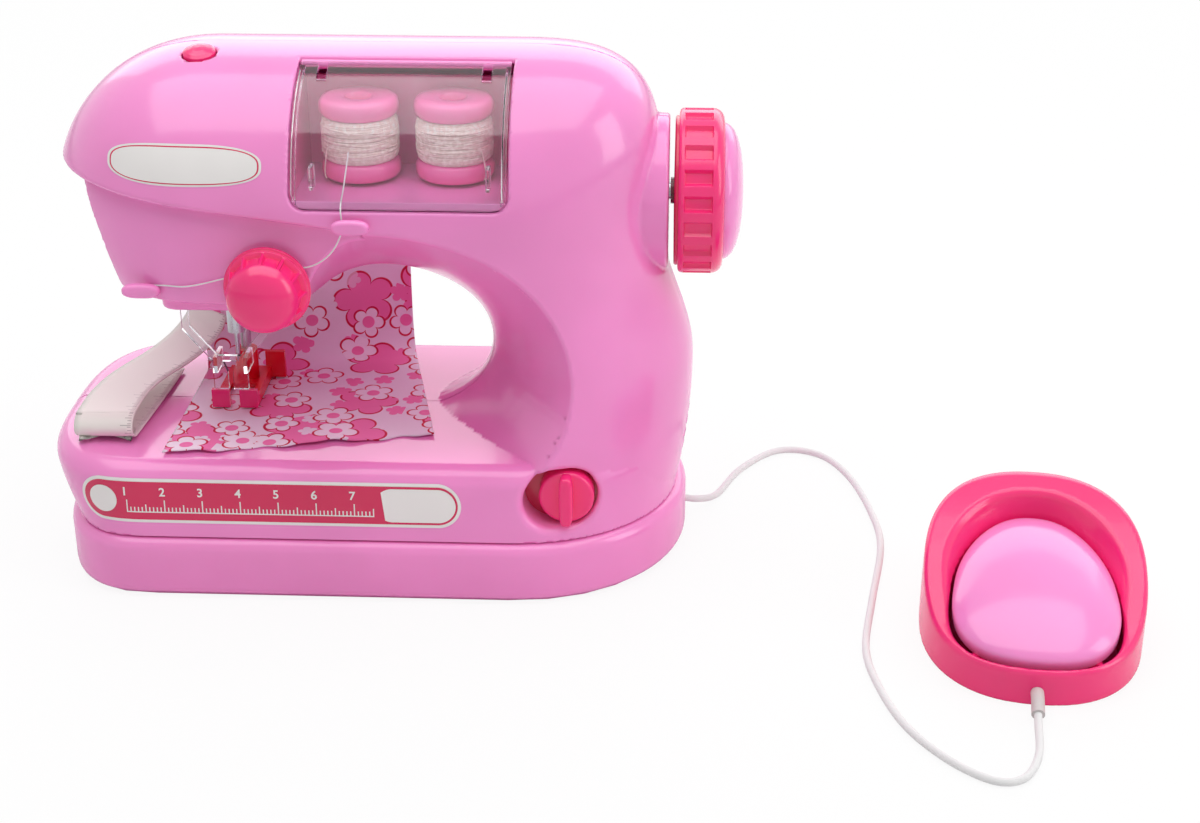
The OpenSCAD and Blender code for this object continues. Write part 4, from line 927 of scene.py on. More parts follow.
# Rim and dome are one plastic; the paler pink on the dome is a painted highlight for the light on its face.
cap_profile = [(22.7, 13.5), (22.9, 14.8), (22.8, 15.7), (22.2, 16.9), (20.8, 18.3), (18.0, 19.7),
               (14.0, 20.8), (9.0, 21.5), (4.5, 21.75), (0.05, 21.8)]
cap_rings = to_axis(turned(cap_profile, 96), wheel_at, "x")
mesh_piece("wheel_dome", *skin(cap_rings), "pink_plastic", "wheel", ["wheel_cap"])
# The crimson hub between collar and wheel is painted shade for the dark gap there.
hub_profile = [(3.05, -2.6), (4.5, -2.6), (4.5, -1.5), (24.6, -1.3), (25.2, -0.8), (25.2, 0.05),
               (3.05, 0.05)]
hub_rings = to_axis(turned(hub_profile, 40), wheel_at, "x")
mesh_piece("wheel_hub", *skin(hub_rings, along=True), "deep_red_plastic", "wheel")

dial_centre = (dial_at[0], -49.87, dial_at[1])
dial_profile = [(2.9, -6, 0), (2.9, 0, 0), (13.5, 0, 0), (14.1, 0.25, 0), (14.2, 0.8, 0), (14.05, 1.3, 0),
                (13.4, 1.5, 0), (13.2, 1.7, 0), (13.2, 2.1, 0), (13.6, 2.3, 0), (13.55, 2.9, 0),
                (13.2, 3.2, 0), (13.1, 3.5, 1), (11.8, 9.2, 0.8), (11.65, 9.6, 0), (11.3, 10.7, 0),
                (10.5, 12.0, 0), (9.1, 13.3, 0), (7.1, 14.3, 0), (4.6, 15.1, 0), (2.3, 15.5, 0),
                (0.05, 15.6, 0)]
dial_rings = to_axis(pocketed(dial_profile, 12, 0.8, 1.5), dial_centre, "-y")
dial = mesh_piece("dial_grip", *skin(dial_rings), "hot_pink_plastic", "dial", ["tension_dial"])
ease_edges(dial, 0.15)
print("wheel of", len(wheel_profile), "and dial of", len(dial_profile), "rings turned")

# %% [markdown]
# ## Power knob and thread hooks
# The knob is a round disc with a grip bar, and each hook is a pill on a short stalk. Such small mouldings
# with round edges are stacks of one outline, each ring drawn in a little where the edge rolls over, which
# gives cleaner highlights than a bevelled box.

# %% Knob and hooks


def cushion(half_w, half_h, low, high, roll, n=3.0, around=64):
    """Rings of a flat cushion about Z: outline of power n, upper edge rolled over."""
    t = full_circle(around)
    least = 0.05
    turns = [(0.0, low)] + [(roll * (1 - math.cos(a)), high - roll * (1 - math.sin(a))) for a in quarter]
    turns.append((roll + min(half_w, half_h) * 0.5, high + least))
    rings = []
    for inset, h in turns:
        x, y = oval(t, half_w - min(inset, half_w - least), half_h - min(inset, half_h - least), n)
        rings.append(np.stack([x, y, np.full_like(t, h)], 1))
    return np.array(rings)


knob_at = (well_x1, -45.4, well_h)
knob_parts = [cushion(9.3, 9.3, 0, 6.4, 1.3, n=2), cushion(2.3, 8.9, 5.5, 10.8, 1.2, n=4),
              turned([(2, -1.8), (2, 0.5)], 24)]
knob_skins = [skin(to_axis(rings, knob_at, "-y")) for rings in knob_parts]
mesh_piece("knob_grip", *joined(*knob_skins), "hot_pink_plastic", "knob", ["power_knob"])

hooks = {"upper": ((2.3, -51.09, 132.1), 6, 2.5), "lower": ((-68, -45.6, 107.5), 6.2, 2.4)}
for which, (at, half_w, half_h) in hooks.items():
    pill = skin(to_axis(cushion(half_w, half_h, 1.7, 3.9, 1.3, n=2.6), at, "-y"))
    stalk_at = (at[0] + 2.2, at[1], at[2] - 0.7)
    stalk = skin(to_axis(cushion(1.8, 1.6, -3, 2, 0.1, n=4), stalk_at, "-y"))
    mesh_piece(which + "_guide", *joined(pill, stalk), "pink_plastic", nodes=[which + "_hook"])
print("knob and", len(hooks), "hooks made")

# %% [markdown]
# ## Stickers on the front
# A ruler runs along the bed and a pale label lies on the head. A decal in the material would follow the
# skin by itself, but its edge would blur. So each is a thin mesh: for every point the front skin is found by
# halving the gap between a place outside and a place inside. The panels stay bare.

# %% Stickers


def front_y(x, z):
    """Y of the front skin at each (x, z)."""
    out, into = np.full(np.shape(x), -75.0), np.full(np.shape(x), -25.0)
    for _ in range(36):
        middle = (out + into) / 2
        inside = housing(x, middle, z) < 0
        into, out = np.where(inside, middle, into), np.where(inside, out, middle)
    return out


def on_front(flat, lift):
    x, z = np.asarray(flat, float).T
    return np.stack([x, front_y(x, z) - lift, z], 1)


def sticker(name, outline, middle, lift, slot):
    """A thin sticker on the front: rings from the middle line out to the outline."""
    rings = [on_front(middle + s * (outline - middle), lift) for s in np.linspace(0, 1, 7)]
    mesh_piece(name, *skin(np.array(rings)[:, ::-1], caps=False), slot)


def stadium(x0, x1, z0, z1, count=160, between=50):
    """A band with half round ends."""
    r = (z1 - z0) / 2
    t = 2 * np.pi * (np.arange(count) + 0.5) / count
    end_c = np.where(np.cos(t) > 0, x1 - r, x0 + r)
    flat = np.stack([end_c + r * np.cos(t), (z0 + z1) / 2 + r * np.sin(t)], 1)
    straight = np.linspace(x1 - r, x0 + r, between)[1:-1]
    upper = np.stack([straight, np.full_like(straight, z1)], 1)
    lower = np.stack([straight[::-1], np.full_like(straight, z0)], 1)
    turn = count // 4
    return np.vstack([flat[:turn], upper, flat[turn:3 * turn], lower, flat[3 * turn:]])


def middle_of(outline, x0, x1, z):
    """The middle line of a sticker, one point for each point of its outline."""
    return np.stack([np.clip(outline[:, 0], x0, x1), np.full(len(outline), z)], 1)


ruler_x0, ruler_x1, ruler_z0, ruler_z1, ruler_border = -94, 35, 27.5, 43.4, 1.1
ruler_mid, ruler_end, badge_x, badge_r, badge_points = 35.45, 27, -86, 4.9, 47
panel_low, panel_edge, panel_slant = 29.4, 9.5, 0.12
ruler = stadium(ruler_x0, ruler_x1, ruler_z0, ruler_z1)
ruler_field = stadium(ruler_x0 + ruler_border, ruler_x1 - ruler_border,
                      ruler_z0 + ruler_border, ruler_z1 - ruler_border)
badge_t = full_circle(badge_points)
badge = np.stack([badge_x + badge_r * np.cos(badge_t), ruler_mid + badge_r * np.sin(badge_t)], 1)
panel = stadium(6, 33.2, panel_low, 41.5)
panel[:, 0] = np.maximum(panel[:, 0], panel_edge - panel_slant * (panel[:, 1] - panel_low))
for name, outline, x0, x1, lift, slot in (
        ("ruler_border", ruler, badge_x, ruler_end, 0.1, "white_plastic"),
        ("ruler_field", ruler_field, badge_x, ruler_end, 0.18, "deep_red_plastic"),
        ("ruler_badge", badge, badge_x, badge_x, 0.26, "white_plastic"),
        ("ruler_panel", panel, 13, 28, 0.26, "white_plastic")):
    sticker(name, outline, middle_of(outline, x0, x1, ruler_mid), lift, slot)
print("ruler laid on, %.0f mm long" % (ruler_x1 - ruler_x0))

# %% [markdown]
# ## Ruler marks
# The ruler has a base line, a mark for each tenth, and plain numbers. Every mark is a small flat face laid
# on the front, and the numbers come from Blender's own font as outlines. Real faces stay crisp from near by.

# %% Ruler marks
mark_x, mark_pitch, mark_count, number_count = -77.6, 12.8, 66, 7
line_low, line_high, mark_half_w, mark_lift, line_lift = 31.2, 31.6, 0.2, 0.26, 0.24
number_size, number_h, number_shift, number_bold = 4.25, 38.6, -0.6, 0.02


def flat_bar(x0, x1, z0, z1, lift):
    return on_front([(x0, z0), (x1, z0), (x1, z1), (x0, z1)], lift), [(0, 1, 2, 3)]


def number_mesh(word, size):
    """Flat outline of a plain number, as points and faces about its middle."""
    data = bpy.data.curves.new("number", "FONT")
    data.body = word
    data.size = size
    data.align_x, data.align_y = "CENTER", "CENTER"
    data.offset = size * number_bold
    holder = bpy.data.objects.new("number", data)
    bpy.context.collection.objects.link(holder)
    drawn = holder.evaluated_get(bpy.context.evaluated_depsgraph_get()).to_mesh()
    points = np.array([v.co[:2] for v in drawn.vertices])
    faces = [tuple(p.vertices) for p in drawn.polygons]
    bpy.data.objects.remove(holder)
    return points, faces


tenths = mark_x + mark_pitch * np.arange(mark_count) / 10
marks = []
for i, x in enumerate(tenths):
    tall = 4.2 if i % 10 == 0 else 2.6 if i % 5 == 0 else 1.6
    marks.append(flat_bar(x - mark_half_w, x + mark_half_w, line_low, line_high + tall, mark_lift))
for x0, x1 in zip(tenths, tenths[1:]):
    marks.append(flat_bar(x0, x1, line_low, line_high, line_lift))
for i in range(number_count):
    points, faces = number_mesh(str(i + 1), number_size)
    centre = [mark_x + number_shift + mark_pitch * i, number_h]
    marks.append((on_front(points + centre, mark_lift), faces))
mesh_piece("ruler_marks", *joined(*marks), "white_plastic")
print("ruler with", mark_count, "marks and", number_count, "numbers")

# %% [markdown]
# ## Head label
# The label on the head is a pale oval with squarer ends and a thin red line inside its edge. The line could
# be a curve, but three stickers of shrinking size, one over the other, need no new helper.

# %% Head label
label_x, label_h, label_half_w, label_half_h, label_n = -51.2, 149.7, 25.4, 6.2, 2.7
label_line, label_field, label_mid = 0.9, 0.84, (-68, -34)
label_t = np.linspace(0, 2 * np.pi, 361)[:-1]
head_label = np.stack(oval(label_t, label_half_w, label_half_h, label_n), 1) + [label_x, label_h]
middle = middle_of(head_label, *label_mid, label_h)
for name, share, lift, slot in (("head_label", 1, 0.1, "white_plastic"),
                                ("head_label_line", label_line, 0.16, "deep_red_plastic"),
                                ("head_label_field", label_field, 0.22, "white_plastic")):
    sticker(name, middle + share * (head_label - middle), middle, lift, slot)
print("head label of", len(head_label), "points laid on")

# %% [markdown]
# ## Spools and windings
# A spool is a fat reel with two doughnut flanges. Its thread could be a bumpy cylinder, but close up that
# looks painted on. Here it is a real helix of nearly thirty turns on a plain core. The pitch wanders a
# little, and a few slanted turns cross the top layer as they do when a reel is wound by hand.

# %% Spools
spool_x, spool_pitch, spool_y, spool_low = 1.8, 30.8, -20.5, 139.2
spool_profile = [(2.1, 0), (10.6, 0), (12.1, 0.5), (12.8, 1.5), (13.0, 3.0), (12.8, 4.6), (12.2, 5.6),
                 (11.3, 6.2), (10.9, 6.2), (10.9, 20.2), (11.3, 20.2), (12.2, 20.8), (12.8, 21.8),
                 (13.0, 23.4), (12.8, 24.8), (12.0, 25.9), (10.4, 26.4), (5.6, 26.4), (4.6, 26.1),
                 (4.1, 25.3), (4.0, 21), (2.1, 20.4)]
core_profile = [(10.9, 6.25), (11.4, 6.3), (12.1, 8.2), (12.15, 13.2), (12.1, 18.2), (11.4, 20.1),
                (10.9, 20.15)]
tail_route = np.array([[-9, -8.6, 12], [-9.9, -8.6, 9.5], [-10.6, -8.3, 5], [-10.8, -7.9, 2.4],
                       [-10.3, -8.5, 1.2]])
turns, per_turn, crossing_turns = 29, 54, 6
strand_r, loose_r, crossing_r = 0.27, 0.24, 12.5


def tube(points, radius, sides=6):
    """A round strand along a row of points."""
    p = np.asarray(points, float)
    along = np.gradient(p, axis=0)
    along /= np.linalg.norm(along, axis=1)[:, None]
    first = np.cross(along, [0.03, 0.05, 1.0])
    first /= np.linalg.norm(first, axis=1)[:, None]
    second = np.cross(along, first)
    a = full_circle(sides)[:, None]
    rings = p[:, None] + radius * (first[:, None] * np.cos(a) + second[:, None] * np.sin(a))
    return skin(rings)


def winding_helix(i):
    """The wound thread: a helix that bulges in the middle and wanders a little."""
    angle = np.linspace(0, 2 * np.pi * turns, turns * per_turn)
    share = angle / angle[-1]
    wander = 0.12 * np.sin(angle * 0.31 + i) + 0.08 * np.sin(angle * 1.13 + 2 * i)
    high = 6.6 + 13.2 * share + wander
    fat = 11.55 + 0.8 * (1 - np.abs(2 * share - 1) ** 5) + 0.06 * np.sin(angle * 2.7)
    return np.stack([fat * np.cos(angle), fat * np.sin(angle), high], 1)


def crossing_turn(tilt, low):
    """One slanted turn over the top layer."""
    loop = np.linspace(0, 2 * np.pi, 80)
    high = low + 2.6 * tilt * np.sin(loop + 5 * tilt)
    return np.stack([crossing_r * np.cos(loop), crossing_r * np.sin(loop), high], 1)


rng = np.random.default_rng(7)
for i, which in enumerate(("left", "right")):
    at = np.array([spool_x + spool_pitch * i, spool_y, spool_low])
    mesh_piece(which + "_reel", *skin(turned(spool_profile, 72) + at, along=True), "hot_pink_plastic",
               "spool_" + which, [which + "_spool"], look="reel_plastic")
    parts = [tube(winding_helix(i) + at, strand_r), skin(turned(core_profile) + at, along=True)]
    for tilt in rng.uniform(-1, 1, crossing_turns):
        parts.append(tube(crossing_turn(tilt, rng.uniform(9.5, 17)) + at, loose_r))
    parts.append(tube(eased(tail_route * [1 - 2 * i, 1, 1] + at, 8), loose_r))
    mesh_piece(which + "_winding", *joined(*parts), "thread", "spool_" + which, [which + "_thread"])
print("two spools with", turns, "turns each")

# %% [markdown]
# ## Spool bay
# Behind the window is a bay: a floor with two spindles, side walls that follow the crown, and a back wall.
# All are plain plates of moulded plastic, so boxes and prisms with eased edges are enough.

# %% Spool bay
hinge_y, hinge_z = -16.0, 174.52
bay_floor, bay_plate, bay_x0, bay_x1, bay_front, bay_back = 138.5, 2.0, -19.0, 53.5, -48.2, -6.6
bay_side, bay_side_front, bay_side_back, lip_inset, lip_half = 1.7, -46.5, -6.0, 2.0, 0.5
angle_low = math.asin(((window["z0"] + 0.8 - shoulder) / (crest - shoulder)) ** (crown_n / 2))
angle_high = math.acos((-hinge_y / arm_half) ** (crown_n / 2))


def crown_point(a, inset):
    """Y and Z on the crown's front at an angle, set in from the skin."""
    y = -(arm_half - inset) * np.cos(a) ** (2 / crown_n)
    z = shoulder + (crest - shoulder - inset) * np.sin(a) ** (2 / crown_n)
    return y, z


def block(low, high):
    """A box between two corners."""
    (x0, y0, z0), (x1, y1, z1) = low, high
    ring = [(x0, y0), (x1, y0), (x1, y1), (x0, y1)]
    return skin([[(x, y, z) for x, y in ring] for z in (z0, z1)])


def prism_x(x0, x1, outline):
    """An outline in Y and Z drawn out along X."""
    return skin([[(x, y, z) for y, z in outline] for x in (x0, x1)])


floor_low = bay_floor - bay_plate
floor_part = block((bay_x0, bay_front, floor_low), (bay_x1, bay_back, bay_floor))
lip_part = block((bay_x0 + lip_inset, bay_front, bay_floor - lip_half),
                 (bay_x1 - lip_inset, bay_front + 1.4, bay_floor + lip_half))
spindle_profile = [(5, -0.5), (5, 0.4), (2, 0.5), (2, 22.8), (1.4, 23.4), (0.05, 23.4)]
spindles = [skin(turned(spindle_profile, 32) + [spool_x + spool_pitch * i, spool_y, bay_floor])
            for i in (0, 1)]
tray = mesh_piece("bay_floor", *joined(floor_part, lip_part, *spindles), "pink_plastic",
                  nodes=["spool_tray"])
ease_edges(tray, 0.3)
bend = np.linspace(angle_low + 0.02, angle_high, 24)
wall_line = [(bay_side_back, floor_low), (bay_side_front, floor_low), *zip(*crown_point(bend, wall))]
wall_line += [(hinge_y + 1.5, hinge_z - 2.6), (bay_side_back, hinge_z - 7)]
walls = [prism_x(x, x + bay_side, wall_line) for x in (bay_x0, bay_x1 - bay_side)]
walls.append(block((bay_x0, bay_back, floor_low), (bay_x1, bay_back + bay_plate, hinge_z - 6)))
# The walls are the same pale pink plastic as the floor; the deeper reel pink on them is painted shade for
# the dim inside of the bay.
mesh_piece("bay_walls", *joined(*walls), "hot_pink_plastic", crease=math.radians(30), look="reel_plastic")
print("bay with", len(spindles), "spindles made")

# %% [markdown]
# ## Clear cover
# The cover is one bent clear sheet that follows the crown and swings up on a rod at its upper edge. A
# solidified plane would have the same thickness all over. Here it is laid out as a grid of small cells:
# leaving some out makes the notches, and thicker rims at both sides catch the light.

# %% Clear cover
cover_x0, cover_x1, cover_t, cover_gap, cover_corner = -16.8, 51.3, 1.6, 0.12, 4.6
cover_rise, rim_width, rim_ramp, rim_depth = 55.0, 1.0, 0.6, 1.5
notch_x, notch_v = (6, 9), (0.80, 0.955)
tab_x, tab_low, tab_high = (-11.5, 44.7), (-45.2, 141.5), (-40, 149)
breaks = [0, 0.5, 1, 1.6, 2.4, 3.4, cover_corner, 6, 9, 13, 18, 24, 30, 34.05]
xs = np.array([cover_x0 + b for b in breaks] + [cover_x1 - b for b in breaks[-2::-1]])
vs = np.linspace(0, 1, 45)
aside = np.minimum(xs - cover_x0, cover_x1 - xs)
drop = np.sqrt(np.maximum(0, cover_corner**2 - np.maximum(0, cover_corner - aside) ** 2))
corner_lift = np.where(aside < cover_corner, cover_corner - drop, 0)
rim = rim_depth * np.clip(1 - (aside - rim_width) / rim_ramp, 0, 1)


def cover_rows(inset):
    """Rows of points from the lower edge up to the hinge, set in from the crown."""
    rows = []
    for v in vs:
        a = angle_low + (angle_high - angle_low) * (v + (1 - v) * corner_lift / cover_rise)
        rows.append(np.stack([xs, *crown_point(a, inset)], 1))
    return np.array(rows)


middle_x = (xs[:-1] + xs[1:]) / 2
from_side = np.minimum(middle_x - cover_x0, cover_x1 - middle_x)
notch_column = (from_side > notch_x[0]) & (from_side < notch_x[1])
notch_row = (vs[:-1] > notch_v[0]) & (vs[:-1] < notch_v[1])
keep = ~(notch_row[:, None] & notch_column)
points = np.vstack([cover_rows(cover_gap).reshape(-1, 3), cover_rows(cover_t + rim).reshape(-1, 3)])
count, wide = len(points) // 2, len(xs)
faces = []
for j, i in np.argwhere(keep):
    a = j * wide + i
    quad = [a, a + 1, a + wide + 1, a + wide]
    faces.append(quad)
    faces.append([count + q for q in quad[::-1]])
    for k, (dj, di) in enumerate(((-1, 0), (0, 1), (1, 0), (0, -1))):
        jj, ii = j + dj, i + di
        if 0 <= jj < keep.shape[0] and 0 <= ii < keep.shape[1] and keep[jj, ii]:
            continue
        p, q = quad[k], quad[(k + 1) % 4]
        faces.append([q, p, count + p, count + q])
cover = mesh_piece("clear_cover", points, faces, "clear_plastic", "cover", ["window_cover"])
ease_edges(cover, 0.2)
tabs = [block((x, *tab_low), (x + 1.3, *tab_high)) for x in tab_x]
ease_edges(mesh_piece("cover_tabs", *joined(*tabs), "clear_plastic", "cover"), 0.25)
rod_profile = [(0.05, cover_x0), (1.3, cover_x0), (1.5, cover_x0 + 0.2), (1.5, cover_x1 - 0.2),
               (1.3, cover_x1), (0.05, cover_x1)]
rod_rings = to_axis(turned(rod_profile, 24), (0, hinge_y, hinge_z), "x")
mesh_piece("cover_hinge", *skin(rod_rings), "pink_plastic", "cover")
print("cover with", len(faces), "faces made")

# %% [markdown]
# ## Cloth
# The cloth lies over the bed with a cut, slightly lifted front edge and stands up under the arm. Cloth
# simulation is the usual way, but it is slow and ends a little differently after every change. Here the
# sheet is bent by formula, and its flat pattern is kept as UV, where 1 stands for 100 mm of cloth.

# %% Cloth


def sheet_piece(name, rows, pattern, thickness, slot, node):
    """A grid of points as a sheet with its flat pattern as UV, made thick by a modifier."""
    points, faces = skin(rows, around=False, caps=False)
    piece = mesh_piece(name, points, faces, slot, nodes=[node], crease=math.pi)
    layer = piece.data.uv_layers.new(name="flat")
    flat = np.asarray(pattern, float).reshape(-1, 2) / pattern_unit
    where = np.empty(len(piece.data.loops), int)
    piece.data.loops.foreach_get("vertex_index", where)
    layer.data.foreach_set("uv", flat[where].ravel())
    solid = piece.modifiers.new("thickness", "SOLIDIFY")
    solid.thickness = thickness * MM
    solid.offset = 1.0
    return piece


cloth_x, cloth_y, cloth_h, cloth_turn, cloth_t = -66.5, -49.5, 48.15, math.radians(12), 0.45
cloth_w, cloth_long, cloth_bend, cloth_round, cloth_taper = 92.0, 112.0, 70.0, 14.0, 15.0
ripple_long, sway_from, sway_long = 26.0, 84.0, 20.0
nu, nv = ((92, 112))
u = np.linspace(0, 1, nu + 1)
cut_edge = 1.3 + 0.8 * np.sin(u * 23) + 0.5 * np.sin(u * 51 + 1)
c, s = math.cos(cloth_turn), math.sin(cloth_turn)
rows, pattern = [], []
for j in range(nv + 1):
    v = cut_edge + (cloth_long - cut_edge) * j / nv
    arc = np.clip((v - cloth_bend) / cloth_round, 0, np.pi / 2)
    forward = np.minimum(v, cloth_bend) + cloth_round * np.sin(arc)
    rise = cloth_round * (1 - np.cos(arc)) + np.maximum(0, v - cloth_bend - cloth_round * np.pi / 2)
    ease = np.maximum(0, 1 - v / ripple_long)
    x = cloth_w * u + cloth_taper * (1 - u) * np.minimum(1, v / cloth_bend)
    lifted = 0.5 * ease**2 * (1 + np.sin(12.2 * u + 0.7))
    ripple = lifted + 0.12 * (1 + np.sin(x / 7 + v / 11)) * (ease > 0)
    y = forward + np.sin(x / 11) * np.clip((v - sway_from) / sway_long, 0, 1)
    rows.append(np.stack([cloth_x + c * x - s * y, cloth_y + s * x + c * y, cloth_h + rise + ripple], 1))
    pattern.append(np.stack([x, v], 1))
cloth_flat = np.array(pattern)
across = np.diff(cloth_flat[:, [0, -1], 0], axis=1)[:, 0]
cloth_area = float((cloth_flat[-1, :, 1] - cloth_flat[0, :, 1]).mean() * across.mean()) * MM**2
cloth = sheet_piece("cloth_sheet", rows, pattern, cloth_t, "cloth", "sewing_cloth")
print("cloth %.4f m2" % cloth_area)

# %% [markdown]
# ## Tape measure
# The tape lies folded once at the left front, its upper run climbing away to the back. A curve with a flat
# bevel would twist in the fold. Here a middle line is listed, and the strip keeps level across it.

# %% Tape measure
tape_low, tape_fold, tape_w, tape_t = 49.5, 3.9, 20.0, 0.5
fold_x, fold_y, fold_long = -88.2, -33.5, 1.5
tape_high = tape_low + 2 * tape_fold
tape_line = [(-84.8, 22, tape_low), (-85.6, 4, tape_low), (-87.2, -20, tape_low)]
for a in np.radians(np.arange(0, 181, 15)):
    tape_line.append((fold_x, fold_y - fold_long * tape_fold * math.sin(a),
                      tape_low + tape_fold * (1 - math.cos(a))))
upper_run = [(-88, -20, 0), (-86.2, -8.5, 0), (-83, 1.5, 0), (-78.9, 10, 0.4), (-74.9, 17.6, 1.6),
             (-71.2, 24, 3.8), (-68.2, 28.8, 7.2), (-66.2, 31.6, 11.6)]
tape_line += [(x, y, tape_high + climb) for x, y, climb in upper_run]
spine = eased(tape_line, 6)
way = np.gradient(spine, axis=0)
way /= np.linalg.norm(way, axis=1)[:, None]
level = np.hypot(way[:, 0], way[:, 1])
side = np.where(level[:, None] > 0.2, np.stack([way[:, 1], -way[:, 0], 0 * level], 1), [1.0, 0, 0])
side = side * np.sign(side[:, :1]) / np.linalg.norm(side, axis=1)[:, None]
gone = np.concatenate([[0], np.cumsum(np.linalg.norm(np.diff(spine, axis=0), axis=1))])
lanes = np.linspace(-0.5, 0.5, 9)
rows = [[p + s * tape_w * k for k in lanes] for p, s in zip(spine, side)]
pattern = [[(g, (0.5 - k) * tape_w) for k in lanes] for g in gone]
tape = sheet_piece("tape_strip", rows, pattern, tape_t, "tape", "tape_measure")
print("tape %.3f m long" % (gone[-1] * MM))

# %% [markdown]
# ## Pedal housing
# The pedal's housing is a rounded block whose top slopes down to the front, with a funnel that widens
# towards the rim round the foot plate. Its soft funnel edge is hard to bevel on a mesh, so it is another
# field, meshed in the same way as the machine's housing.

# %% Pedal housing
plate_c, plate_half, plate_side, egg_taper, egg_n = -8.0, 34.04, 25.92, 0.22, 2.3
plate_low, plate_tilt, plate_front = 12.0, 0.2, -42.0
pedal_half_w, pedal_half_l, pedal_tall = 36.0, 46.0, 42.6
slope_y = [-70, -34, -25, -10, 0, 20, 46, 60]
slope_z = [12.5, 13, 14.7, 22, 27, 34.2, 42.6, 44]
slope_scale, slope_soft = 0.85, (-5, -2.5, 0, 2.5, 5)
funnel_low, funnel_floor, funnel_x, funnel_x_grow, funnel_y, funnel_y_grow = 13.0, 2.5, 0.9, 0.66, 1.6, 0.12
lead_hole_h, lead_hole_r, lead_hole_y = 5.0, 1.7, -36.0
slit_count, slit_x, slit_pitch, slit_low, slit_high, slit_r, slit_y = 7, -24.0, 6.9, 8.0, 18.0, 0.8, 38.0
pedal_wall, funnel_wall = 2.4, 2.2


def egg_value(x, y, margin_x, margin_y):
    """Distance like value of the egg outline with a margin each way."""
    v = (y - plate_c) / (plate_half + margin_y)
    w = (plate_side + margin_x) * (1 - egg_taper * np.clip(power(v, 1.15), -1, 1))
    k = (np.abs(x / w) ** egg_n + np.abs(v) ** egg_n) ** (1 / egg_n)
    return stretch(np.hypot(x, y - plate_c), k, w)


def pedal_outer(x, y, z):
    s = (np.abs(x / pedal_half_w) ** egg_n + np.abs(y / pedal_half_l) ** egg_n) ** (1 / egg_n)
    k = (s**5.5 + np.abs(z / pedal_tall) ** 6.5) ** (1 / 6)
    ball = stretch(np.sqrt(x**2 + y**2 + z**2), k, pedal_half_w)
    rim_z = sum(np.interp(y + d, slope_y, slope_z) for d in slope_soft) / len(slope_soft)
    return fillet_meet(ball, slope_scale * (z - rim_z), 1.8)


def funnel(x, y, z):
    lift = np.maximum(0, z - funnel_low - plate_tilt * (y - plate_front))
    return egg_value(x, y, funnel_x + funnel_x_grow * lift, funnel_y + funnel_y_grow * lift)


def pedal_value(x, y, z):
    out = cut(pedal_outer(x, y, z), np.maximum(funnel(x, y, z), funnel_floor - z), 1.7)
    out = fillet_meet(out, -z, 1.2)
    out = cut(out, np.maximum(post(x, z, (0, lead_hole_h), lead_hole_r), y - lead_hole_y))
    for i in range(slit_count):
        slit = np.hypot(x - slit_x - slit_pitch * i, z - np.clip(z, slit_low, slit_high)) - slit_r
        out = cut(out, np.maximum(slit, slit_y - y))
    return out


def pedal_skin(p):
    return pedal_value(*p.T)


pedal_step = 0.9
pedal_low, pedal_high = (-38.3, -48.3, -1.7), (38.3, 48.3, 44.8)
px, py, pz = grid(pedal_low, pedal_high, pedal_step)
inner = np.maximum(pedal_outer(px, py, pz) + pedal_wall, funnel_wall - funnel(px, py, pz))
pedal_field = cut(pedal_value(px, py, pz), inner)
field_piece("pedal_shell", pedal_field, pedal_low, pedal_step, pedal_skin, "hot_pink_plastic",
            "pedal_housing", on_pedal)

# %% [markdown]
# ## Foot plate and lead sleeve
# The plate is the egg shaped pad that the foot presses, with a shallow dome and a skirt round it. Scaled
# spheres would not keep the egg's blunt end, so it is a skin of egg shaped rings. A short sleeve guards the
# lead where it enters the pedal.

# %% Foot plate and lead sleeve
dome_low, dome_rise, dome_n = 1.6, 8.1, 0.55
dome_shares = (1, 0.995, 0.985, 0.965, 0.93, 0.88, 0.8, 0.7, 0.58, 0.44, 0.3, 0.16, 0.02)
plate_profile = [(0.02, 7.2), (0.4, 6.5), (0.75, 4.4), (0.92, 0.6), (0.97, -2.0), (0.985, -2.2),
                 (0.995, -1.6), (1.0, 0.9)]
plate_profile += [(s, dome_low + dome_rise * (1 - s * s) ** dome_n) for s in dome_shares]
plate_t = full_circle(96)
plate_rings = []
for s, h in plate_profile:
    x, y = oval(plate_t, plate_side * s * (1 - egg_taper * np.sin(plate_t)), plate_half * s, egg_n)
    y = plate_c + y
    plate_rings.append(np.stack(on_pedal(x, y, plate_low + h + plate_tilt * (y - plate_front)), 1))
mesh_piece("foot_plate", *skin(plate_rings), "pink_plastic", "pedal", ["pedal_plate"])
sleeve_r, sleeve_sides = 2.1, 20
sleeve_route = [(0, -41, 5), (0, -46, 5), (0, -50, 4.7), (-0.1, -56, 3.5)]
sleeve_line = eased([on_pedal(*p) for p in sleeve_route], 6)
mesh_piece("lead_sleeve", *tube(sleeve_line, sleeve_r, sleeve_sides), "cord")
print("foot plate with", len(plate_profile), "rings and lead sleeve made")

# %% [markdown]
# ## Floor, light and background
# The machine stands on a white table in a bright studio. One hard lamp would give dark shadows and small
# highlights. So a broad soft box hangs above, another behind gives the tops their pale sheen, a narrower
# one stands at the right, and the world adds an even fill. The floor shows white to the camera but still
# carries the soft contact shadow.

# %% Stage


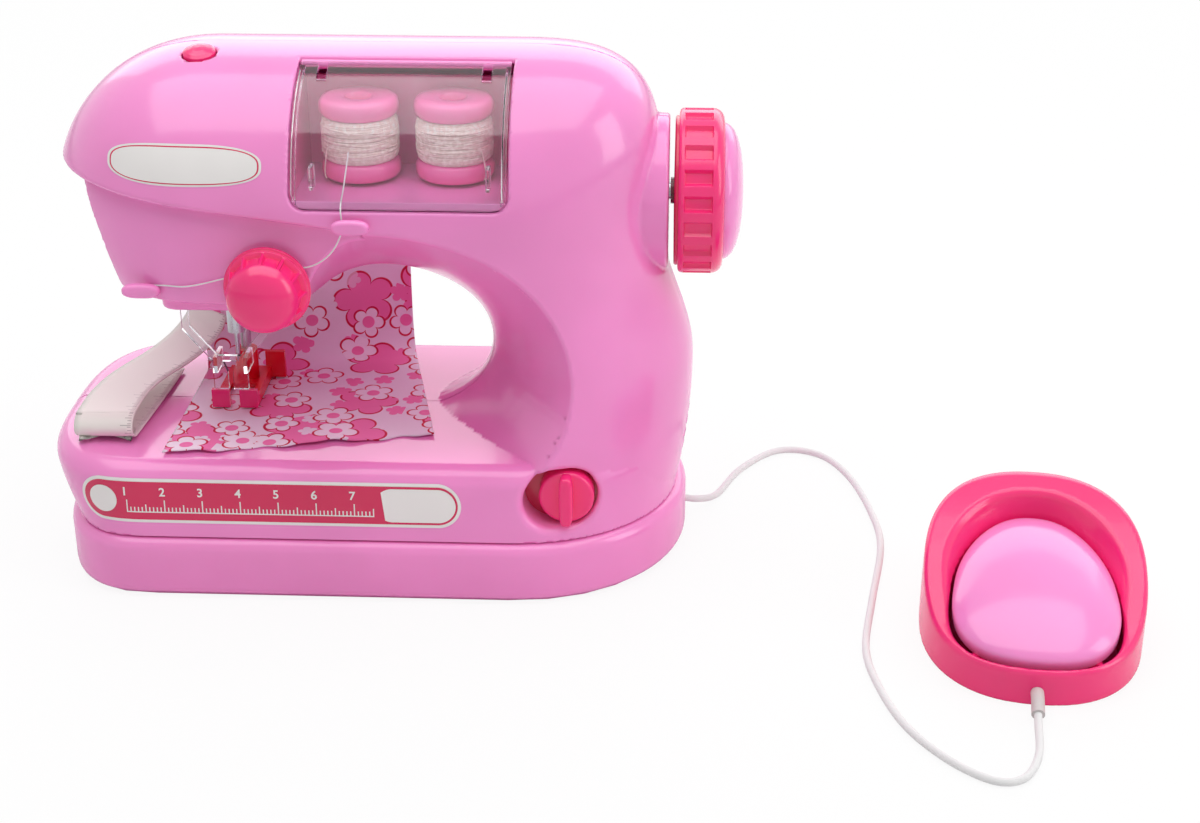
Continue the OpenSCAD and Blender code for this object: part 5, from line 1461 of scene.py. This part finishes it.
def softbox(name, at, aim, size, watts):
    """A rectangular area lamp at a place in metres, turned to its aim."""
    data = bpy.data.lights.new(name, "AREA")
    data.shape = "RECTANGLE"
    data.size, data.size_y = size
    data.energy = watts
    lamp = bpy.data.objects.new(name, data)
    lamp.location = at
    lamp.visible_camera = False
    direction = np.array(aim) - np.array(at)
    yaw = math.atan2(direction[1], direction[0]) - math.pi / 2
    pitch = math.atan2(-direction[2], math.hypot(direction[0], direction[1]))
    lamp.rotation_euler = (math.pi / 2 - pitch, 0, yaw)
    bpy.context.collection.objects.link(lamp)


softbox("key_box", (0.0, -0.1, 1.15), (0, 0, 0.08), (1.5, 1.1), 10.5)
softbox("back_box", (0.1, 1.3, 0.75), (0.1, 0, 0.1), (2.4, 0.9), 9)
softbox("side_box", (1.2, -0.3, 0.6), (0.05, 0, 0.08), (0.5, 0.9), 4)
floor_half, floor_glow, fill = 6, 0.9, 0.36
floor_corners = [(x * floor_half, y * floor_half, 0) for x, y in ((-1, -1), (1, -1), (1, 1), (-1, 1))]
floor_mesh = bpy.data.meshes.new("floor")
floor_mesh.from_pydata(floor_corners, [], [(0, 1, 2, 3)])
floor = bpy.data.objects.new("floor", floor_mesh)
bpy.context.collection.objects.link(floor)
wire, shader = finish("floor_white", base_color=(0.86, 0.86, 0.86, 1), roughness=0.6)
seen = wire.add("LightPath", out=0)
paper = wire.add("Emission", None, {"Color": (1, 1, 1, 1), "Strength": 1.0})
table = finishes["floor_white"].node_tree
diffuse = Wire(table, shader.outputs[0])
mixed = wire.add("MixShader", None, {0: seen * floor_glow, 1: diffuse, 2: paper})
table.links.new(mixed.socket, table.nodes["Material Output"].inputs["Surface"])
floor_mesh.materials.append(finishes["floor_white"])

world = bpy.data.worlds.new("studio")
bpy.context.scene.world = world
world.use_nodes = True
studio = Wire(world.node_tree)
path = studio.add("LightPath").socket.node
seen, through, mirrored = [Wire(world.node_tree, path.outputs["Is %s Ray" % kind])
                           for kind in ("Camera", "Transmission", "Glossy")]
background = world.node_tree.nodes["Background"]
background.inputs["Color"].default_value = (1.0, 0.985, 0.99, 1)
strength = fill + (1 - fill) * seen.most(through).most(mirrored)
world.node_tree.links.new(strength.socket, background.inputs["Strength"])
bpy.context.scene.view_settings.view_transform = "Standard"
print("stage set")
